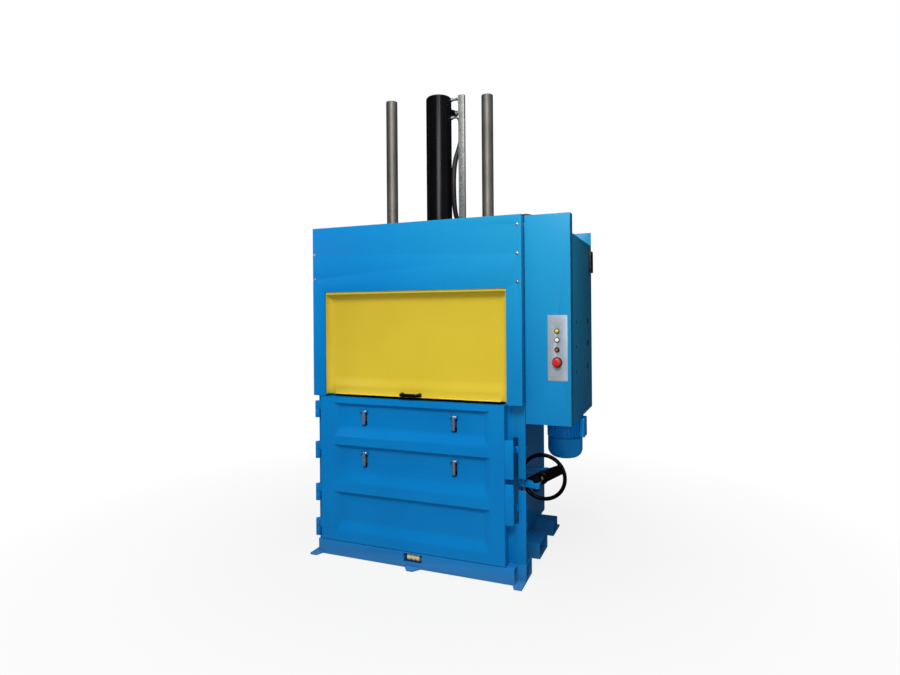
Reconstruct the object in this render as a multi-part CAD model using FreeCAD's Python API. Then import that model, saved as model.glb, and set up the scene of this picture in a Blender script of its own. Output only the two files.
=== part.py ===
import FreeCAD, Part
import math
import os

# Vertical recycling baler: a welded press frame with a bale chamber, a hydraulic platen on two
# guide columns, a lifting feed guard, a side-hung bale door with a spindle lock and retaining
# dogs, and a power and control cabinet on the right.
#
# Frame: millimetres, +X to the right along the front, +Y to the back, +Z up. The origin is on the
# floor under the press axis, which is also the centre of the four corner anchor holes.

# ---------------------------------------------------------------- driving dimensions
# chamber and frame
CHAMBER_HALF = 590.0            # half the inner width of the bale chamber
CHAMBER_DEPTH = 860.0           # front flange face to the inner face of the rear wall
WALL = 8.0                      # side wall and front flange plate
REAR_PLATE = 6.0
FLANGE_WIDTH = 125.0
FLANGE_OUT = CHAMBER_HALF + FLANGE_WIDTH
FRONT = -428.0                  # front face of the flanges, measured from the press axis
FRAME_TOP = 2100.0
REAR_POST_DEPTH = 134.0
REAR_POST_WIDTH = 98.0
REAR_POST_WALL = 6.0
REAR_POSTS = 4

# base
BASE_HEIGHT = 100.0
BEAM_WALL = 6.0
BEAMS = ((0.0, 135.0), (345.0, 220.0), (CHAMBER_DEPTH - 100.0, 135.0))   # start behind the front face, depth
FLOOR_PLATE = 10.0
SILL_PROUD = 65.0               # front sill before the flange face
SILL_HEIGHT = 95.0
SILL_LEFT = 35.0 - FLANGE_OUT
SILL_RIGHT = FLANGE_OUT - 55.0
SILL_WALL = 6.0
LUG_THICK = 12.0
LUG_HOLE_R = 7.0
LUG_REACH = 48.0                # lug beyond the sill
ANCHOR_X = FLANGE_OUT - 25.0
ANCHOR_Y = 516.0

# chain guide roller in the sill
ROLLER_X = 7.0
ROLLER_LENGTH = 84.0
ROLLER_R = 21.0
ROLLER_GROOVE = 5.0
ROLLER_Z = 62.0
ROLLER_BACK = 28.0              # roller axis behind the sill face
ROLLER_PIN_R = 8.0
POCKET_GAP = 20.0               # cheek to roller end
POCKET_CLEAR = 4.0              # pocket above and below the roller

# press axis, crosshead and cylinder
CROSS_BOTTOM = 1985.0
CROSS_HEIGHT = 180.0
CROSS_PLATE = 20.0
CROSS_WEB = 8.0
CROSS_FLANGE = 70.0
CROSS_WEB_Y = 138.0
CROSS_TOP_HALF = 440.0
BARREL_R = 88.5
BARREL_BORE_R = 72.5
BARREL_BOTTOM = 2040.0
BARREL_TOP = 3085.0
BARREL_CAP = 45.0
BARREL_SHOULDER = 16.0
BARREL_FLANGE_R = 132.0
BARREL_FLANGE = 25.0
FLANGE_BOLTS = 8
FLANGE_BOLT_PCD_R = 111.0
FLANGE_BOLT_R = 8.0
FLANGE_BOLT_HEAD = 10.0
GLAND_DROP = 45.0
GLAND_NOSE = 30.0
ROD_R = 45.0
PISTON_HEIGHT = 60.0
PISTON_GAP = 15.0
PISTON_SEAT_R = 30.0
ROD_FOOT_R = 70.0
ROD_FOOT = 22.0

# guide columns, one ahead of the press axis and one behind it
COLUMN_R = 40.0
COLUMN_X = 333.0
COLUMN_Y = 69.0
COLUMN_TOP = BARREL_TOP - 5.0
BUSH_WALL = 10.0
COLUMN_FOOT_R = 58.0
COLUMN_FOOT = 16.0
RUN_FIT = 0.05                  # radial clearance of every running fit
SEAT_FIT = 0.03                 # radial clearance of every seated round piece

# platen
PLATEN_BOTTOM = 1740.0
PLATEN_GAP = 12.0               # platen edge to chamber front and rear
PLATEN_SIDE_GAP = 15.0
PLATEN_PLATE = 15.0
PLATEN_RIB_TOP = 1890.0
PLATEN_RIB = 12.0
PLATEN_RIBS_Y = (-330.0, -145.0, 145.0, 330.0)
PLATEN_TOP_HALF = 470.0
STRAP_SLOTS_X = (-430.0, -150.0, 150.0, 430.0)
STRAP_SLOT_WIDTH = 40.0
STRAP_SLOT_DEPTH = 32.0
STRAP_SLOT_WALL = 6.0
BOSS_HEIGHT = 40.0

# hose guard rail beside the barrel
RAIL_X = 173.0
RAIL_Y = -18.0
RAIL_WIDTH = 44.0
RAIL_DEPTH = 25.0
RAIL_SHEET = 3.0
RAIL_TOP = BARREL_TOP - 5.0
STUD_LEVELS = (RAIL_TOP - 22.0, RAIL_TOP - 148.0)
RAIL_NUT = 18.0                 # across the flats of the nut inside the rail
STUD_R = 7.0
STUD_NUT_R = 13.0
STUD_NUT = 11.0

# hoses
HOSE_R = 17.0
HOSE_RUN_Z = 2215.0
HOSE_END_X = FLANGE_OUT + 135.0
HOSE_DROP_X = 120.0
HOSE_DIP_X = CHAMBER_HALF + 50.0
HOSE_DIP_Z = 2130.0
HOSE_FRONT_Y = -8.0
HOSE_DROPS = (0.18, 0.31, 0.51, 0.77)   # shares of the drop beside the barrel
HOSE_SIDES = 12
HOSE_RAIL_Y = RAIL_Y + RAIL_DEPTH + HOSE_R + 16.0
HOSE_BACK_Y = 160.0
HOSE_FITTING = 40.0
PORT_R = 22.0
PORT_OUT = 30.0
PORT_TOP_Z = BARREL_TOP - 84.0
PORT_LOW_Z = 2230.0

# front cover over the guard
COVER_PROUD = 63.0
COVER_SHEET = 3.0
COVER_TOP = 2150.0
COVER_BOTTOM = 1043.0
COVER_BEND = 5.0
WINDOW_HALF = CHAMBER_HALF + 30.0
WINDOW_TOP = 1725.0
COVER_LIP = 10.0
SCREW_INSET = 25.0
COVER_SCREWS = tuple((FLANGE_OUT - SCREW_INSET, COVER_TOP - drop) for drop in (58.0, 225.0, 392.0))
COVER_SCREWS += tuple((17.0 - FLANGE_OUT, COVER_TOP - drop) for drop in (174.0, 340.0))
SCREW_R = 4.0
SCREW_HEAD_R = 8.0
SCREW_HEAD = 4.5
BOSS_ACROSS = 19.0
SCREW_CLEAR = 0.5

# lifting guard and its rails
GUARD_HALF = WINDOW_HALF - 2.0
GUARD_SHEET = 2.5
GUARD_BACK = -4.0               # back of the guard sheet, from the flange face
GUARD_FRONT = -56.0             # front edges of the guard sheet
GUARD_BEND = 45.0
GUARD_BOTTOM = 1055.0
GUARD_FLANGE_Z = 1712.0
GUARD_LIP_TOP = 1736.0
GUARD_LIFT = 620.0
RAIL_U_SHEET = 3.0
RAIL_U_DEPTH = 33.0
RAIL_U_INNER = WINDOW_HALF + 2.0
RAIL_U_OUTER = WINDOW_HALF + 30.0
RAIL_U_BOTTOM = 1052.0
RAIL_U_TOP = 2120.0
SHOE_LENGTH = 90.0
SHOE_LEVELS = (1080.0, 1390.0)
SHOE_CLEAR = 1.0
HANDLE_X = -14.0
HANDLE_Z = GUARD_BOTTOM + 16.0
HANDLE_WIDTH = 141.0
HANDLE_BAR_R = 11.0
HANDLE_OUT = 54.0

# bale door
DOOR_LEFT = -CHAMBER_HALF - 70.0
DOOR_RIGHT = CHAMBER_HALF + 15.0
DOOR_BOTTOM = 100.0
DOOR_TOP = 1038.0
DOOR_PROUD = 63.0
DOOR_BACK = 3.0                 # door back before the flange face
DOOR_SHEET = 6.0
DOOR_INNER = 8.0
POCKET_LEFT = DOOR_LEFT + 104.0
POCKET_RIGHT = DOOR_RIGHT - 88.0
POCKET_DEPTH = 22.0
POCKET_BEVEL_LEFT = 34.0
POCKET_BEVEL_RIGHT = 44.0
POCKETS = ((727.0, 1000.0, 72.0), (420.0, 727.0, 88.0), (100.0, 420.0, 82.0))
RIB_BAND = 55.0                 # flat band under each bevelled slope

# hinges
HINGE_X = 15.0 - FLANGE_OUT
HINGE_Y = -35.0
HINGE_R = 18.0
HINGE_PIN_R = 8.0
HINGE_LEVELS = (948.0, 676.0, 394.0, 162.0)
HINGE_LENGTH = 110.0
HINGE_GAP = 2.0
WASHER = 1.4
HINGE_LEAF = 16.0

# retaining dogs in the door
DOG_X = (-337.0, 284.0)
DOG_LEVELS = (918.0, 650.0)
DOG_THICK = 15.0
DOG_REACH = 27.0                # tooth past the flange face, into the chamber
DOG_PIVOT_UP = 34.0
DOG_PIVOT_Y = -51.0
DOG_PIN_R = 5.0
DOG_SLOT_HALF = 17.0
DOG_SLOT_TOP = 22.0
DOG_SLOT_BOTTOM = 62.0
LUG_PLATE = 4.0
LUG_HALF = 21.0
SLEEVE_WALL = 2.5
SLEEVE_LENGTH = 10.0
RUN_GAP = 0.6
SLEEVE_R = 9.75

# door lock
LOCK_PLATE_RIGHT = DOOR_RIGHT + 53.0
LOCK_PLATE_THICK = 18.0
LOCK_PLATES = ((611.0, 838.0), (342.0, 580.0))
SLOT_LEFT = CHAMBER_HALF + 49.0
SLOT_RIGHT = SLOT_LEFT + 31.0
SLOT_BOTTOM = 335.0
SLOT_TOP = 845.0
NOTCH_BOTTOM = 536.0
NOTCH_TOP = 604.0
CLAW_LEVELS = (766.0, 422.0)
CLAW_HEIGHT = 34.0
TAB_LEFT = SLOT_LEFT + 5.0
TAB_WEB = 6.0
TAB_NOSE = 10.0
TAB_NOSE_FRONT = 30.0
TAB_NOSE_BACK = 42.0
SHAFT_X = CHAMBER_HALF + 90.0
SHAFT_Y = 70.0
SHAFT_R = 15.0
SHAFT_BOTTOM = 292.0
SHAFT_TOP = 895.0
CLAW_HUB_R = 26.0
HOOK_FRONT = 14.0
HOOK_BACK = 28.0
LOCK_ANGLE = 14.0               # lock shaft turn from released to locked
BEARING_HEIGHT = 24.0
BEARING_INSET = 8.0
ARM_LEVEL = 565.0
ARM_HEIGHT = 34.0
ARM_TIP_R = 16.0
ARM_HUB_R = 30.0
PIN_SLOT_CLEAR = 0.8

# spindle and handwheel
SPINDLE_X = SHAFT_X + 85.0
SPINDLE_R = 12.0
CLEVIS_PIN_Y = 40.0
CLEVIS_PIN_R = 6.0
CLEVIS_HALF = 17.0
CLEVIS_PRONG = 16.0
CLEVIS_GAP = 0.5
CLEVIS_BODY_FRONT = 75.0
CLEVIS_BODY_BACK = 101.0
KEEPER = 10.0
CLEVIS_FRONT = 24.0
SPINDLE_END = 400.0
COLLAR_R = 19.0
COLLAR = 8.0
COLLAR_GAP = 0.3
BRACKET_FRONT = 292.0
BRACKET_BACK = 332.0
BRACKET_R = 34.0
BRACKET_PLATE = 10.0
BRACKET_HALF_HEIGHT = 26.0
WHEEL_Y = 228.0
WHEEL_R = 135.0
WHEEL_RIM_R = 12.5
WHEEL_HUB_R = 38.0
WHEEL_HUB_FRONT = 188.0
WHEEL_HUB_BACK = 246.0
WHEEL_SPOKE_ANGLE = 27.0
WHEEL_SPOKES = 2
SPOKE_AT_HUB = 74.0
SPOKE_AT_RIM = 58.0
SPOKE_THICK = 14.0

# power and control cabinet
CAB_WIDTH = 268.0
CAB_BOTTOM = 930.0
CAB_PAN_DEPTH = 70.0
CAB_BACK = 797.0
CAB_BOX_TOP = 2040.0
CAB_REAR_TOP = 2132.0
CAB_SHEET = 2.0
CAB_JOIN = 1.0
HANGER_SIZE = 50.0
HANGER_WALL = 4.0
HANGER_LEVELS = (CAB_BOTTOM + 70.0, CAB_BOX_TOP - 140.0)
CAB_RIGHT = FLANGE_OUT + CAB_JOIN + CAB_WIDTH
VENT_FRONT = 690.0
VENT_BACK = 792.0
VENT_BOTTOM = 1852.0
VENT_TOP = 1996.0
VENT_OUT = 14.0
VENT_SLATS = 6
PLUG_LEVELS = (1523.0, 1378.0, 1227.0)
PLUG_Y = 175.0
PLUG_R = 8.0

# controls
PANEL_RIGHT = CAB_RIGHT - 19.0
PANEL_LEFT = PANEL_RIGHT - 114.0
PANEL_BOTTOM = 1187.0
PANEL_TOP = 1566.0
PANEL_THICK = 2.0
PANEL_CORNER = 6.0
CONTROL_X = PANEL_LEFT + 54.0
LAMP_Z = 1474.0
START_Z = 1423.0
SELECTOR_Z = 1367.0
STOP_Z = 1295.0
BEZEL_R = 15.0
BEZEL = 5.0
BUTTON_R = 11.0
BUTTON_TRAVEL = 4.0
STEM_R = 6.0
STOP_HEAD_R = 24.0
STOP_STEM_R = 14.0
STOP_RING_R = 30.0

# drive in the cabinet
MOTOR_X = FLANGE_OUT + 146.0
MOTOR_BORE = 200.0
FAN_SLOT_START = 26.0
FAN_SLOT_END = 50.0
MOTOR_Y = 22.0
MOTOR_R = 100.0
FIN_R = 114.0
FIN_THICK = 3.5
FINS = 28
MOTOR_FLANGE_R = 116.0
MOTOR_FLANGE = 16.0
STATOR_BOTTOM = 782.0
FAN_COVER_R = 110.0
FAN_COVER_BOTTOM = 650.0
FAN_COVER_SHEET = 3.0
FAN_COVER_ROUND = 58.0
FAN_R = 84.0
FAN_BLADES = 7
MOTOR_SHAFT_R = 14.0
BELL_R = 90.0
BELL_HEIGHT = 120.0
PUMP_R = 45.0
PUMP_HEIGHT = 130.0
TANK = (CAB_RIGHT - 249.0, CAB_RIGHT - 19.0, 130.0, 340.0, 932.0, 1500.0)       # x, y and z limits
VALVE = (CAB_RIGHT - 224.0, CAB_RIGHT - 84.0, 150.0, 300.0, 1500.0, 1610.0)
TERMINAL = (MOTOR_X + 96.0, MOTOR_X + 131.0, -30.0, 80.0, 790.0, 910.0)

X = FreeCAD.Vector(1, 0, 0)
Y = FreeCAD.Vector(0, 1, 0)
Z = FreeCAD.Vector(0, 0, 1)


# ---------------------------------------------------------------- helpers
def vec(x, y, z):
    return FreeCAD.Vector(x, y, z)


def box(x0, x1, y0, y1, z0, z1):
    """A block between two corners."""
    return Part.makeBox(x1 - x0, y1 - y0, z1 - z0, vec(x0, y0, z0))


def rod(start, axis, radius, length):
    """A round bar from a point along an axis."""
    return Part.makeCylinder(radius, length, start, axis)


def tube(start, axis, outer, inner, length):
    """A round sleeve from a point along an axis."""
    return rod(start, axis, outer, length).cut(rod(start, axis, inner, length))


def fuse(shapes):
    """One solid from overlapping or touching solids."""
    whole = shapes[0].multiFuse(shapes[1:]) if len(shapes) > 1 else shapes[0]
    return whole.removeSplitter()


def prism(points, direction):
    """A flat outline pushed along a direction."""
    wire = Part.makePolygon(list(points) + [points[0]])
    return Part.Face(wire).extrude(direction)


def hexagon(centre, axis, across, height):
    """A hexagonal nut or bolt head, its width across the flats given."""
    radius = across / math.sqrt(3.0)
    ring = []
    for index in range(6):
        angle = math.radians(60 * index + 30)
        if axis == X:
            ring.append(centre + vec(0, radius * math.cos(angle), radius * math.sin(angle)))
        elif axis == Y:
            ring.append(centre + vec(radius * math.cos(angle), 0, radius * math.sin(angle)))
        else:
            ring.append(centre + vec(radius * math.cos(angle), radius * math.sin(angle), 0))
    return prism(ring, axis * height)


def round_edges(shape, radius, along, test=None):
    """Fillets the straight edges that run along one axis and pass a test on their middle."""
    chosen = []
    for edge in shape.Edges:
        if len(edge.Vertexes) != 2 or edge.Curve.TypeId != "Part::GeomLine":
            continue
        run = edge.Vertexes[1].Point - edge.Vertexes[0].Point
        if abs(abs(run.normalize().dot(along)) - 1.0) > 1e-6:
            continue
        if test is None or test(edge.CenterOfMass):
            chosen.append(edge)
    return shape.makeFillet(radius, chosen) if chosen else shape


def revolve(outline, centre, axis_x, axis):
    """Turns an outline of (radius, height) pairs about an axis through a centre."""
    points = [centre + axis_x * r + axis * h for r, h in outline]
    face = Part.Face(Part.makePolygon(points + [points[0]]))
    return face.revolve(centre, axis, 360)


def shoulder(radius, height, size, way, steps=3):
    """Outline points of a rounded rim, from the side to the end face; way is +1 up or -1 down."""
    points = []
    for step in range(steps + 1):
        angle = math.pi / 2 * step / steps
        points.append((radius - size + size * math.cos(angle),
                       height - way * size + way * size * math.sin(angle)))
    return points


def frustum_pocket(x0, x1, z0, z1, y_front, y_back, left, right, bottom):
    """A pocket with bevelled left, right and bottom walls and a square top wall."""
    front = [vec(x0, y_front, z0), vec(x1, y_front, z0), vec(x1, y_front, z1), vec(x0, y_front, z1)]
    back = [vec(x0 + left, y_back, z0 + bottom), vec(x1 - right, y_back, z0 + bottom),
            vec(x1 - right, y_back, z1), vec(x0 + left, y_back, z1)]
    wires = [Part.makePolygon(ring + [ring[0]]) for ring in (front, back)]
    return Part.makeLoft(wires, True, True)


def rounded_path(points, radii):
    """A wire of straight runs joined by tangent arcs."""
    edges = []
    start = points[0]
    for index in range(1, len(points) - 1):
        corner = points[index]
        radius = radii[index - 1]
        back = (points[index - 1] - corner).normalize()
        ahead = (points[index + 1] - corner).normalize()
        half = back.getAngle(ahead) / 2.0
        first = corner + back * (radius / math.tan(half))
        last = corner + ahead * (radius / math.tan(half))
        middle_way = (back + ahead).normalize()
        middle = corner + middle_way * (radius / math.sin(half) - radius)
        edges.append(Part.LineSegment(start, first).toShape())
        edges.append(Part.Arc(first, middle, last).toShape())
        start = last
    edges.append(Part.LineSegment(start, points[-1]).toShape())
    return Part.Wire(edges)


def pipe(points, radii, radius, sides=0):
    """A bar or hose along straight runs and arcs, round or with a number of flats."""
    path = rounded_path(points, radii)
    heading = (points[1] - points[0]).normalize()
    if sides:
        across = heading.cross(Z if abs(heading.z) < 0.9 else X).normalize()
        upright = heading.cross(across)
        corners = [points[0] + (across * math.cos(2 * math.pi * side / sides)
                                + upright * math.sin(2 * math.pi * side / sides)) * radius
                   for side in range(sides)]
        ring = Part.makePolygon(corners + corners[:1])
    else:
        ring = Part.Wire([Part.Circle(points[0], heading, radius).toShape()])
    return path.makePipeShell([ring], True, False)


def mirror_x(shape):
    """The same piece on the other side of the press axis."""
    return shape.mirror(vec(0, 0, 0), X)


def save(node, shapes):
    """Writes one sub-part: a single solid, or a group of separate solids."""
    solids = [solid for shape in shapes for solid in shape.Solids]
    for solid in solids:
        if not solid.isValid() or solid.Volume <= 0:
            raise ValueError(node + " is not a sound solid")
    whole = solids[0] if len(solids) == 1 else Part.makeCompound(solids)
    whole.exportStep("parts/" + node + ".step")
    print(node, len(solids), round(sum(solid.Volume for solid in solids) / 1000.0, 1), "cm3")


# ---------------------------------------------------------------- base
def base_beams():
    """Three cross tubes with fork pockets between them."""
    beams = []
    for start, depth in BEAMS:
        y0 = FRONT + start
        outer = box(-FLANGE_OUT, FLANGE_OUT, y0, y0 + depth, 0, BASE_HEIGHT)
        inner = box(-FLANGE_OUT, FLANGE_OUT, y0 + BEAM_WALL, y0 + depth - BEAM_WALL,
                    BEAM_WALL, BASE_HEIGHT - BEAM_WALL)
        beams.append(outer.cut(inner))
    return beams


def anchor_lugs():
    """Floor lugs round the sill corners, in the middle of the sill and behind the rear beam."""
    face = FRONT - SILL_PROUD
    tip = face - LUG_REACH
    rear = FRONT + BEAMS[-1][0] + BEAMS[-1][1]
    lugs = []
    for side, end in ((-1, SILL_LEFT), (1, SILL_RIGHT)):
        edge = side * FLANGE_OUT
        gap = side * 1.0
        lugs.append(prism([vec(end + gap, FRONT, 0), vec(edge, FRONT, 0), vec(edge, tip, 0),
                           vec(edge - side * 47, tip, 0), vec(edge - side * 66, face, 0),
                           vec(end + gap, face, 0)], Z * LUG_THICK))
        lugs.append(prism([vec(edge, rear, 0), vec(edge, rear + 80, 0),
                           vec(edge - side * 47, rear + 80, 0), vec(edge - side * 66, rear, 0)],
                          Z * LUG_THICK))
    lugs.append(prism([vec(ROLLER_X - 55, face, 0), vec(ROLLER_X - 20, tip, 0),
                       vec(ROLLER_X + 20, tip, 0), vec(ROLLER_X + 55, face, 0)], Z * LUG_THICK))
    holes = [rod(vec(sx * ANCHOR_X, sy * ANCHOR_Y, -1), Z, LUG_HOLE_R, LUG_THICK + 2)
             for sx in (-1, 1) for sy in (-1, 1)]
    cutter = Part.makeCompound(holes)
    return [lug.cut(cutter) for lug in lugs]


def front_sill():
    """Square tube below the door with a cheeked pocket for the chain roller."""
    face = FRONT - SILL_PROUD
    shell = box(SILL_LEFT, SILL_RIGHT, face, FRONT, 0, SILL_HEIGHT).cut(
        box(SILL_LEFT, SILL_RIGHT, face + SILL_WALL, FRONT - SILL_WALL,
            SILL_WALL, SILL_HEIGHT - SILL_WALL))
    half = ROLLER_LENGTH / 2 + POCKET_GAP
    low = ROLLER_Z - ROLLER_R - POCKET_CLEAR
    high = ROLLER_Z + ROLLER_R + POCKET_CLEAR
    mouth = box(ROLLER_X - half, ROLLER_X + half, face - 1, face + SILL_WALL + 1, low, high)
    shell = shell.cut(mouth)
    cheeks = [box(x0, x0 + SILL_WALL, face + SILL_WALL, FRONT - SILL_WALL,
                  SILL_WALL, SILL_HEIGHT - SILL_WALL)
              for x0 in (ROLLER_X - half - SILL_WALL, ROLLER_X + half)]
    whole = fuse([shell] + cheeks)
    return whole.cut(rod(vec(ROLLER_X - half - 2 * SILL_WALL, face + ROLLER_BACK, ROLLER_Z), X,
                         ROLLER_PIN_R + SEAT_FIT, 2 * half + 4 * SILL_WALL))


def chain_roller():
    """Turned roller with three lands and two chain grooves."""
    land = ROLLER_LENGTH / 5.0
    low = ROLLER_R - ROLLER_GROOVE
    outline = [(ROLLER_PIN_R + RUN_FIT, 0)]
    for index in range(5):
        radius = ROLLER_R if index % 2 == 0 else low
        outline.append((radius, index * land))
        outline.append((radius, (index + 1) * land))
    outline.append((ROLLER_PIN_R + RUN_FIT, ROLLER_LENGTH))
    centre = vec(ROLLER_X - ROLLER_LENGTH / 2, FRONT - SILL_PROUD + ROLLER_BACK, ROLLER_Z)
    return revolve(outline, centre, Z, X)


def roller_pin():
    """Pin between the pocket cheeks."""
    half = ROLLER_LENGTH / 2 + POCKET_GAP + SILL_WALL
    return rod(vec(ROLLER_X - half, FRONT - SILL_PROUD + ROLLER_BACK, ROLLER_Z), X,
               ROLLER_PIN_R, 2 * half)


# ---------------------------------------------------------------- frame
def floor_plate():
    """Chamber floor on the beams."""
    return box(-CHAMBER_HALF, CHAMBER_HALF, FRONT, FRONT + CHAMBER_DEPTH,
               BASE_HEIGHT, BASE_HEIGHT + FLOOR_PLATE)


def side_wall():
    """Right side wall behind its front flange."""
    return box(CHAMBER_HALF, CHAMBER_HALF + WALL, FRONT + WALL, FRONT + CHAMBER_DEPTH + REAR_PLATE,
               BASE_HEIGHT, FRAME_TOP)


def front_flange():
    """Right front flange plate, plain."""
    return box(CHAMBER_HALF, FLANGE_OUT, FRONT, FRONT + WALL, BASE_HEIGHT, FRAME_TOP)


def lock_flange():
    """Right front flange with the slots for the door tabs and the notch for the lock arm."""
    slot = box(SLOT_LEFT, SLOT_RIGHT, FRONT - 1, FRONT + WALL + 1, SLOT_BOTTOM, SLOT_TOP)
    notch = box(SLOT_LEFT, FLANGE_OUT + 1, FRONT - 1, FRONT + WALL + 1, NOTCH_BOTTOM, NOTCH_TOP)
    return front_flange().cut(round_edges(slot, 6.0, Y)).cut(notch)


def rear_wall():
    """Rear plate with its four channel posts."""
    y0 = FRONT + CHAMBER_DEPTH
    outer = CHAMBER_HALF + WALL
    plate = box(-CHAMBER_HALF, CHAMBER_HALF, y0, y0 + REAR_PLATE, BASE_HEIGHT, FRAME_TOP)
    posts = []
    pitch = (2 * outer - REAR_POST_WIDTH) / (REAR_POSTS - 1)
    for index in range(REAR_POSTS):
        x0 = -outer + index * pitch
        shell = box(x0, x0 + REAR_POST_WIDTH, y0 + REAR_PLATE, y0 + REAR_PLATE + REAR_POST_DEPTH,
                    BASE_HEIGHT, FRAME_TOP)
        hollow = box(x0 + REAR_POST_WALL, x0 + REAR_POST_WIDTH - REAR_POST_WALL, y0 + REAR_PLATE,
                     y0 + REAR_PLATE + REAR_POST_DEPTH - REAR_POST_WALL, BASE_HEIGHT, FRAME_TOP)
        posts.append(shell.cut(hollow))
    return plate, posts


def column_places():
    """Plan positions of the two guide columns, set diagonally about the press axis."""
    return ((-COLUMN_X, -COLUMN_Y), (COLUMN_X, COLUMN_Y))


def crosshead():
    """Two channels and two bored plates that carry the cylinder and the guide bushes."""
    top = CROSS_BOTTOM + CROSS_HEIGHT
    pieces = []
    for side in (-1, 1):
        y_in = side * CROSS_WEB_Y
        y_web = side * (CROSS_WEB_Y + CROSS_WEB)
        y_out = side * (CROSS_WEB_Y + CROSS_FLANGE)
        outline = [vec(-CHAMBER_HALF, y_in, CROSS_BOTTOM), vec(-CHAMBER_HALF, y_out, CROSS_BOTTOM),
                   vec(-CHAMBER_HALF, y_out, CROSS_BOTTOM + CROSS_WEB),
                   vec(-CHAMBER_HALF, y_web, CROSS_BOTTOM + CROSS_WEB),
                   vec(-CHAMBER_HALF, y_web, top - CROSS_WEB),
                   vec(-CHAMBER_HALF, y_out, top - CROSS_WEB),
                   vec(-CHAMBER_HALF, y_out, top), vec(-CHAMBER_HALF, y_in, top)]
        pieces.append(prism(outline, X * (2 * CHAMBER_HALF)))
    pieces.append(box(-CHAMBER_HALF, CHAMBER_HALF, -CROSS_WEB_Y, CROSS_WEB_Y,
                      CROSS_BOTTOM, CROSS_BOTTOM + CROSS_PLATE))
    pieces.append(box(-CROSS_TOP_HALF, CROSS_TOP_HALF, -CROSS_WEB_Y, CROSS_WEB_Y,
                      top - CROSS_PLATE, top))
    whole = fuse(pieces)
    bores = [rod(vec(0, 0, CROSS_BOTTOM - 1), Z, BARREL_R + SEAT_FIT, CROSS_HEIGHT + 2)]
    for x, y in column_places():
        bores.append(rod(vec(x, y, CROSS_BOTTOM - 1), Z,
                         COLUMN_R + RUN_FIT + BUSH_WALL + SEAT_FIT, CROSS_HEIGHT + 2))
    for x, y in flange_bolt_places():
        bores.append(rod(vec(x, y, top - CROSS_PLATE - 1), Z, FLANGE_BOLT_R + SCREW_CLEAR,
                         CROSS_PLATE + 2))
    return whole.cut(Part.makeCompound(bores))


def flange_bolt_places():
    """Plan positions of the bolts round the cylinder flange."""
    places = []
    for index in range(FLANGE_BOLTS):
        angle = 2 * math.pi * (index + 0.5) / FLANGE_BOLTS
        places.append((FLANGE_BOLT_PCD_R * math.cos(angle), FLANGE_BOLT_PCD_R * math.sin(angle)))
    return places


def guide_bushes():
    """Plain bushes that the columns slide in."""
    return [tube(vec(x, y, CROSS_BOTTOM), Z, COLUMN_R + RUN_FIT + BUSH_WALL, COLUMN_R + RUN_FIT,
                 CROSS_HEIGHT) for x, y in column_places()]


# ---------------------------------------------------------------- cylinder and platen
def port_direction():
    """The upper hose port looks back and to the right."""
    angle = math.radians(52.0)
    return vec(math.cos(angle), math.sin(angle), 0)


def cylinder_barrel():
    """Barrel with a closed, rounded head, a mounting flange and two hose ports."""
    cross_top = CROSS_BOTTOM + CROSS_HEIGHT
    body = revolve([(0, BARREL_BOTTOM), (BARREL_R, BARREL_BOTTOM)]
                   + shoulder(BARREL_R, BARREL_TOP, BARREL_SHOULDER, 1)
                   + [(0, BARREL_TOP)], vec(0, 0, 0), X, Z)
    collar = rod(vec(0, 0, cross_top), Z, BARREL_FLANGE_R, BARREL_FLANGE)
    wall = BARREL_R - BARREL_BORE_R
    top_port = rod(port_direction() * (BARREL_R - wall / 2) + Z * PORT_TOP_Z,
                   port_direction(), PORT_R, PORT_OUT + wall / 2)
    low_port = rod(vec(0, BARREL_R - wall / 2, PORT_LOW_Z), Y, PORT_R, PORT_OUT + wall / 2)
    whole = fuse([body, collar, top_port, low_port])
    bore = rod(vec(0, 0, BARREL_BOTTOM - 1), Z, BARREL_BORE_R, BARREL_TOP - BARREL_CAP
               - BARREL_BOTTOM + 1)
    holes = [rod(vec(x, y, cross_top - 1), Z, FLANGE_BOLT_R + SCREW_CLEAR, BARREL_FLANGE + 2)
             for x, y in flange_bolt_places()]
    return whole.cut(Part.makeCompound([bore] + holes))


def cylinder_gland():
    """Rod gland below the barrel with its nose in the bore."""
    outline = [(ROD_R + RUN_FIT, -GLAND_DROP), (BARREL_R - 4, -GLAND_DROP), (BARREL_R - 4, 0),
               (BARREL_BORE_R - SEAT_FIT, 0), (BARREL_BORE_R - SEAT_FIT, GLAND_NOSE),
               (ROD_R + RUN_FIT, GLAND_NOSE)]
    return revolve(outline, vec(0, 0, BARREL_BOTTOM), X, Z)


def flange_bolts():
    """Hexagon bolts through the cylinder flange and the crosshead plate."""
    top = CROSS_BOTTOM + CROSS_HEIGHT + BARREL_FLANGE
    bolts = []
    for x, y in flange_bolt_places():
        head = hexagon(vec(x, y, top), Z, 24.0, FLANGE_BOLT_HEAD)
        shank = rod(vec(x, y, top - BARREL_FLANGE - CROSS_PLATE), Z, FLANGE_BOLT_R,
                    BARREL_FLANGE + CROSS_PLATE)
        bolts.append(fuse([head, shank]))
    return bolts


def platen_top():
    return PLATEN_RIB_TOP + BOSS_HEIGHT


def piston_bottom():
    return BARREL_TOP - BARREL_CAP - PISTON_GAP - PISTON_HEIGHT


def piston_rod():
    """Ground rod with a bolted foot and a reduced seat for the piston."""
    base = platen_top()
    outline = [(0, 0), (ROD_FOOT_R, 0), (ROD_FOOT_R, ROD_FOOT), (ROD_R, ROD_FOOT),
               (ROD_R, piston_bottom() - base), (PISTON_SEAT_R, piston_bottom() - base),
               (PISTON_SEAT_R, piston_bottom() - base + PISTON_HEIGHT),
               (0, piston_bottom() - base + PISTON_HEIGHT)]
    return revolve(outline, vec(0, 0, base), X, Z)


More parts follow.
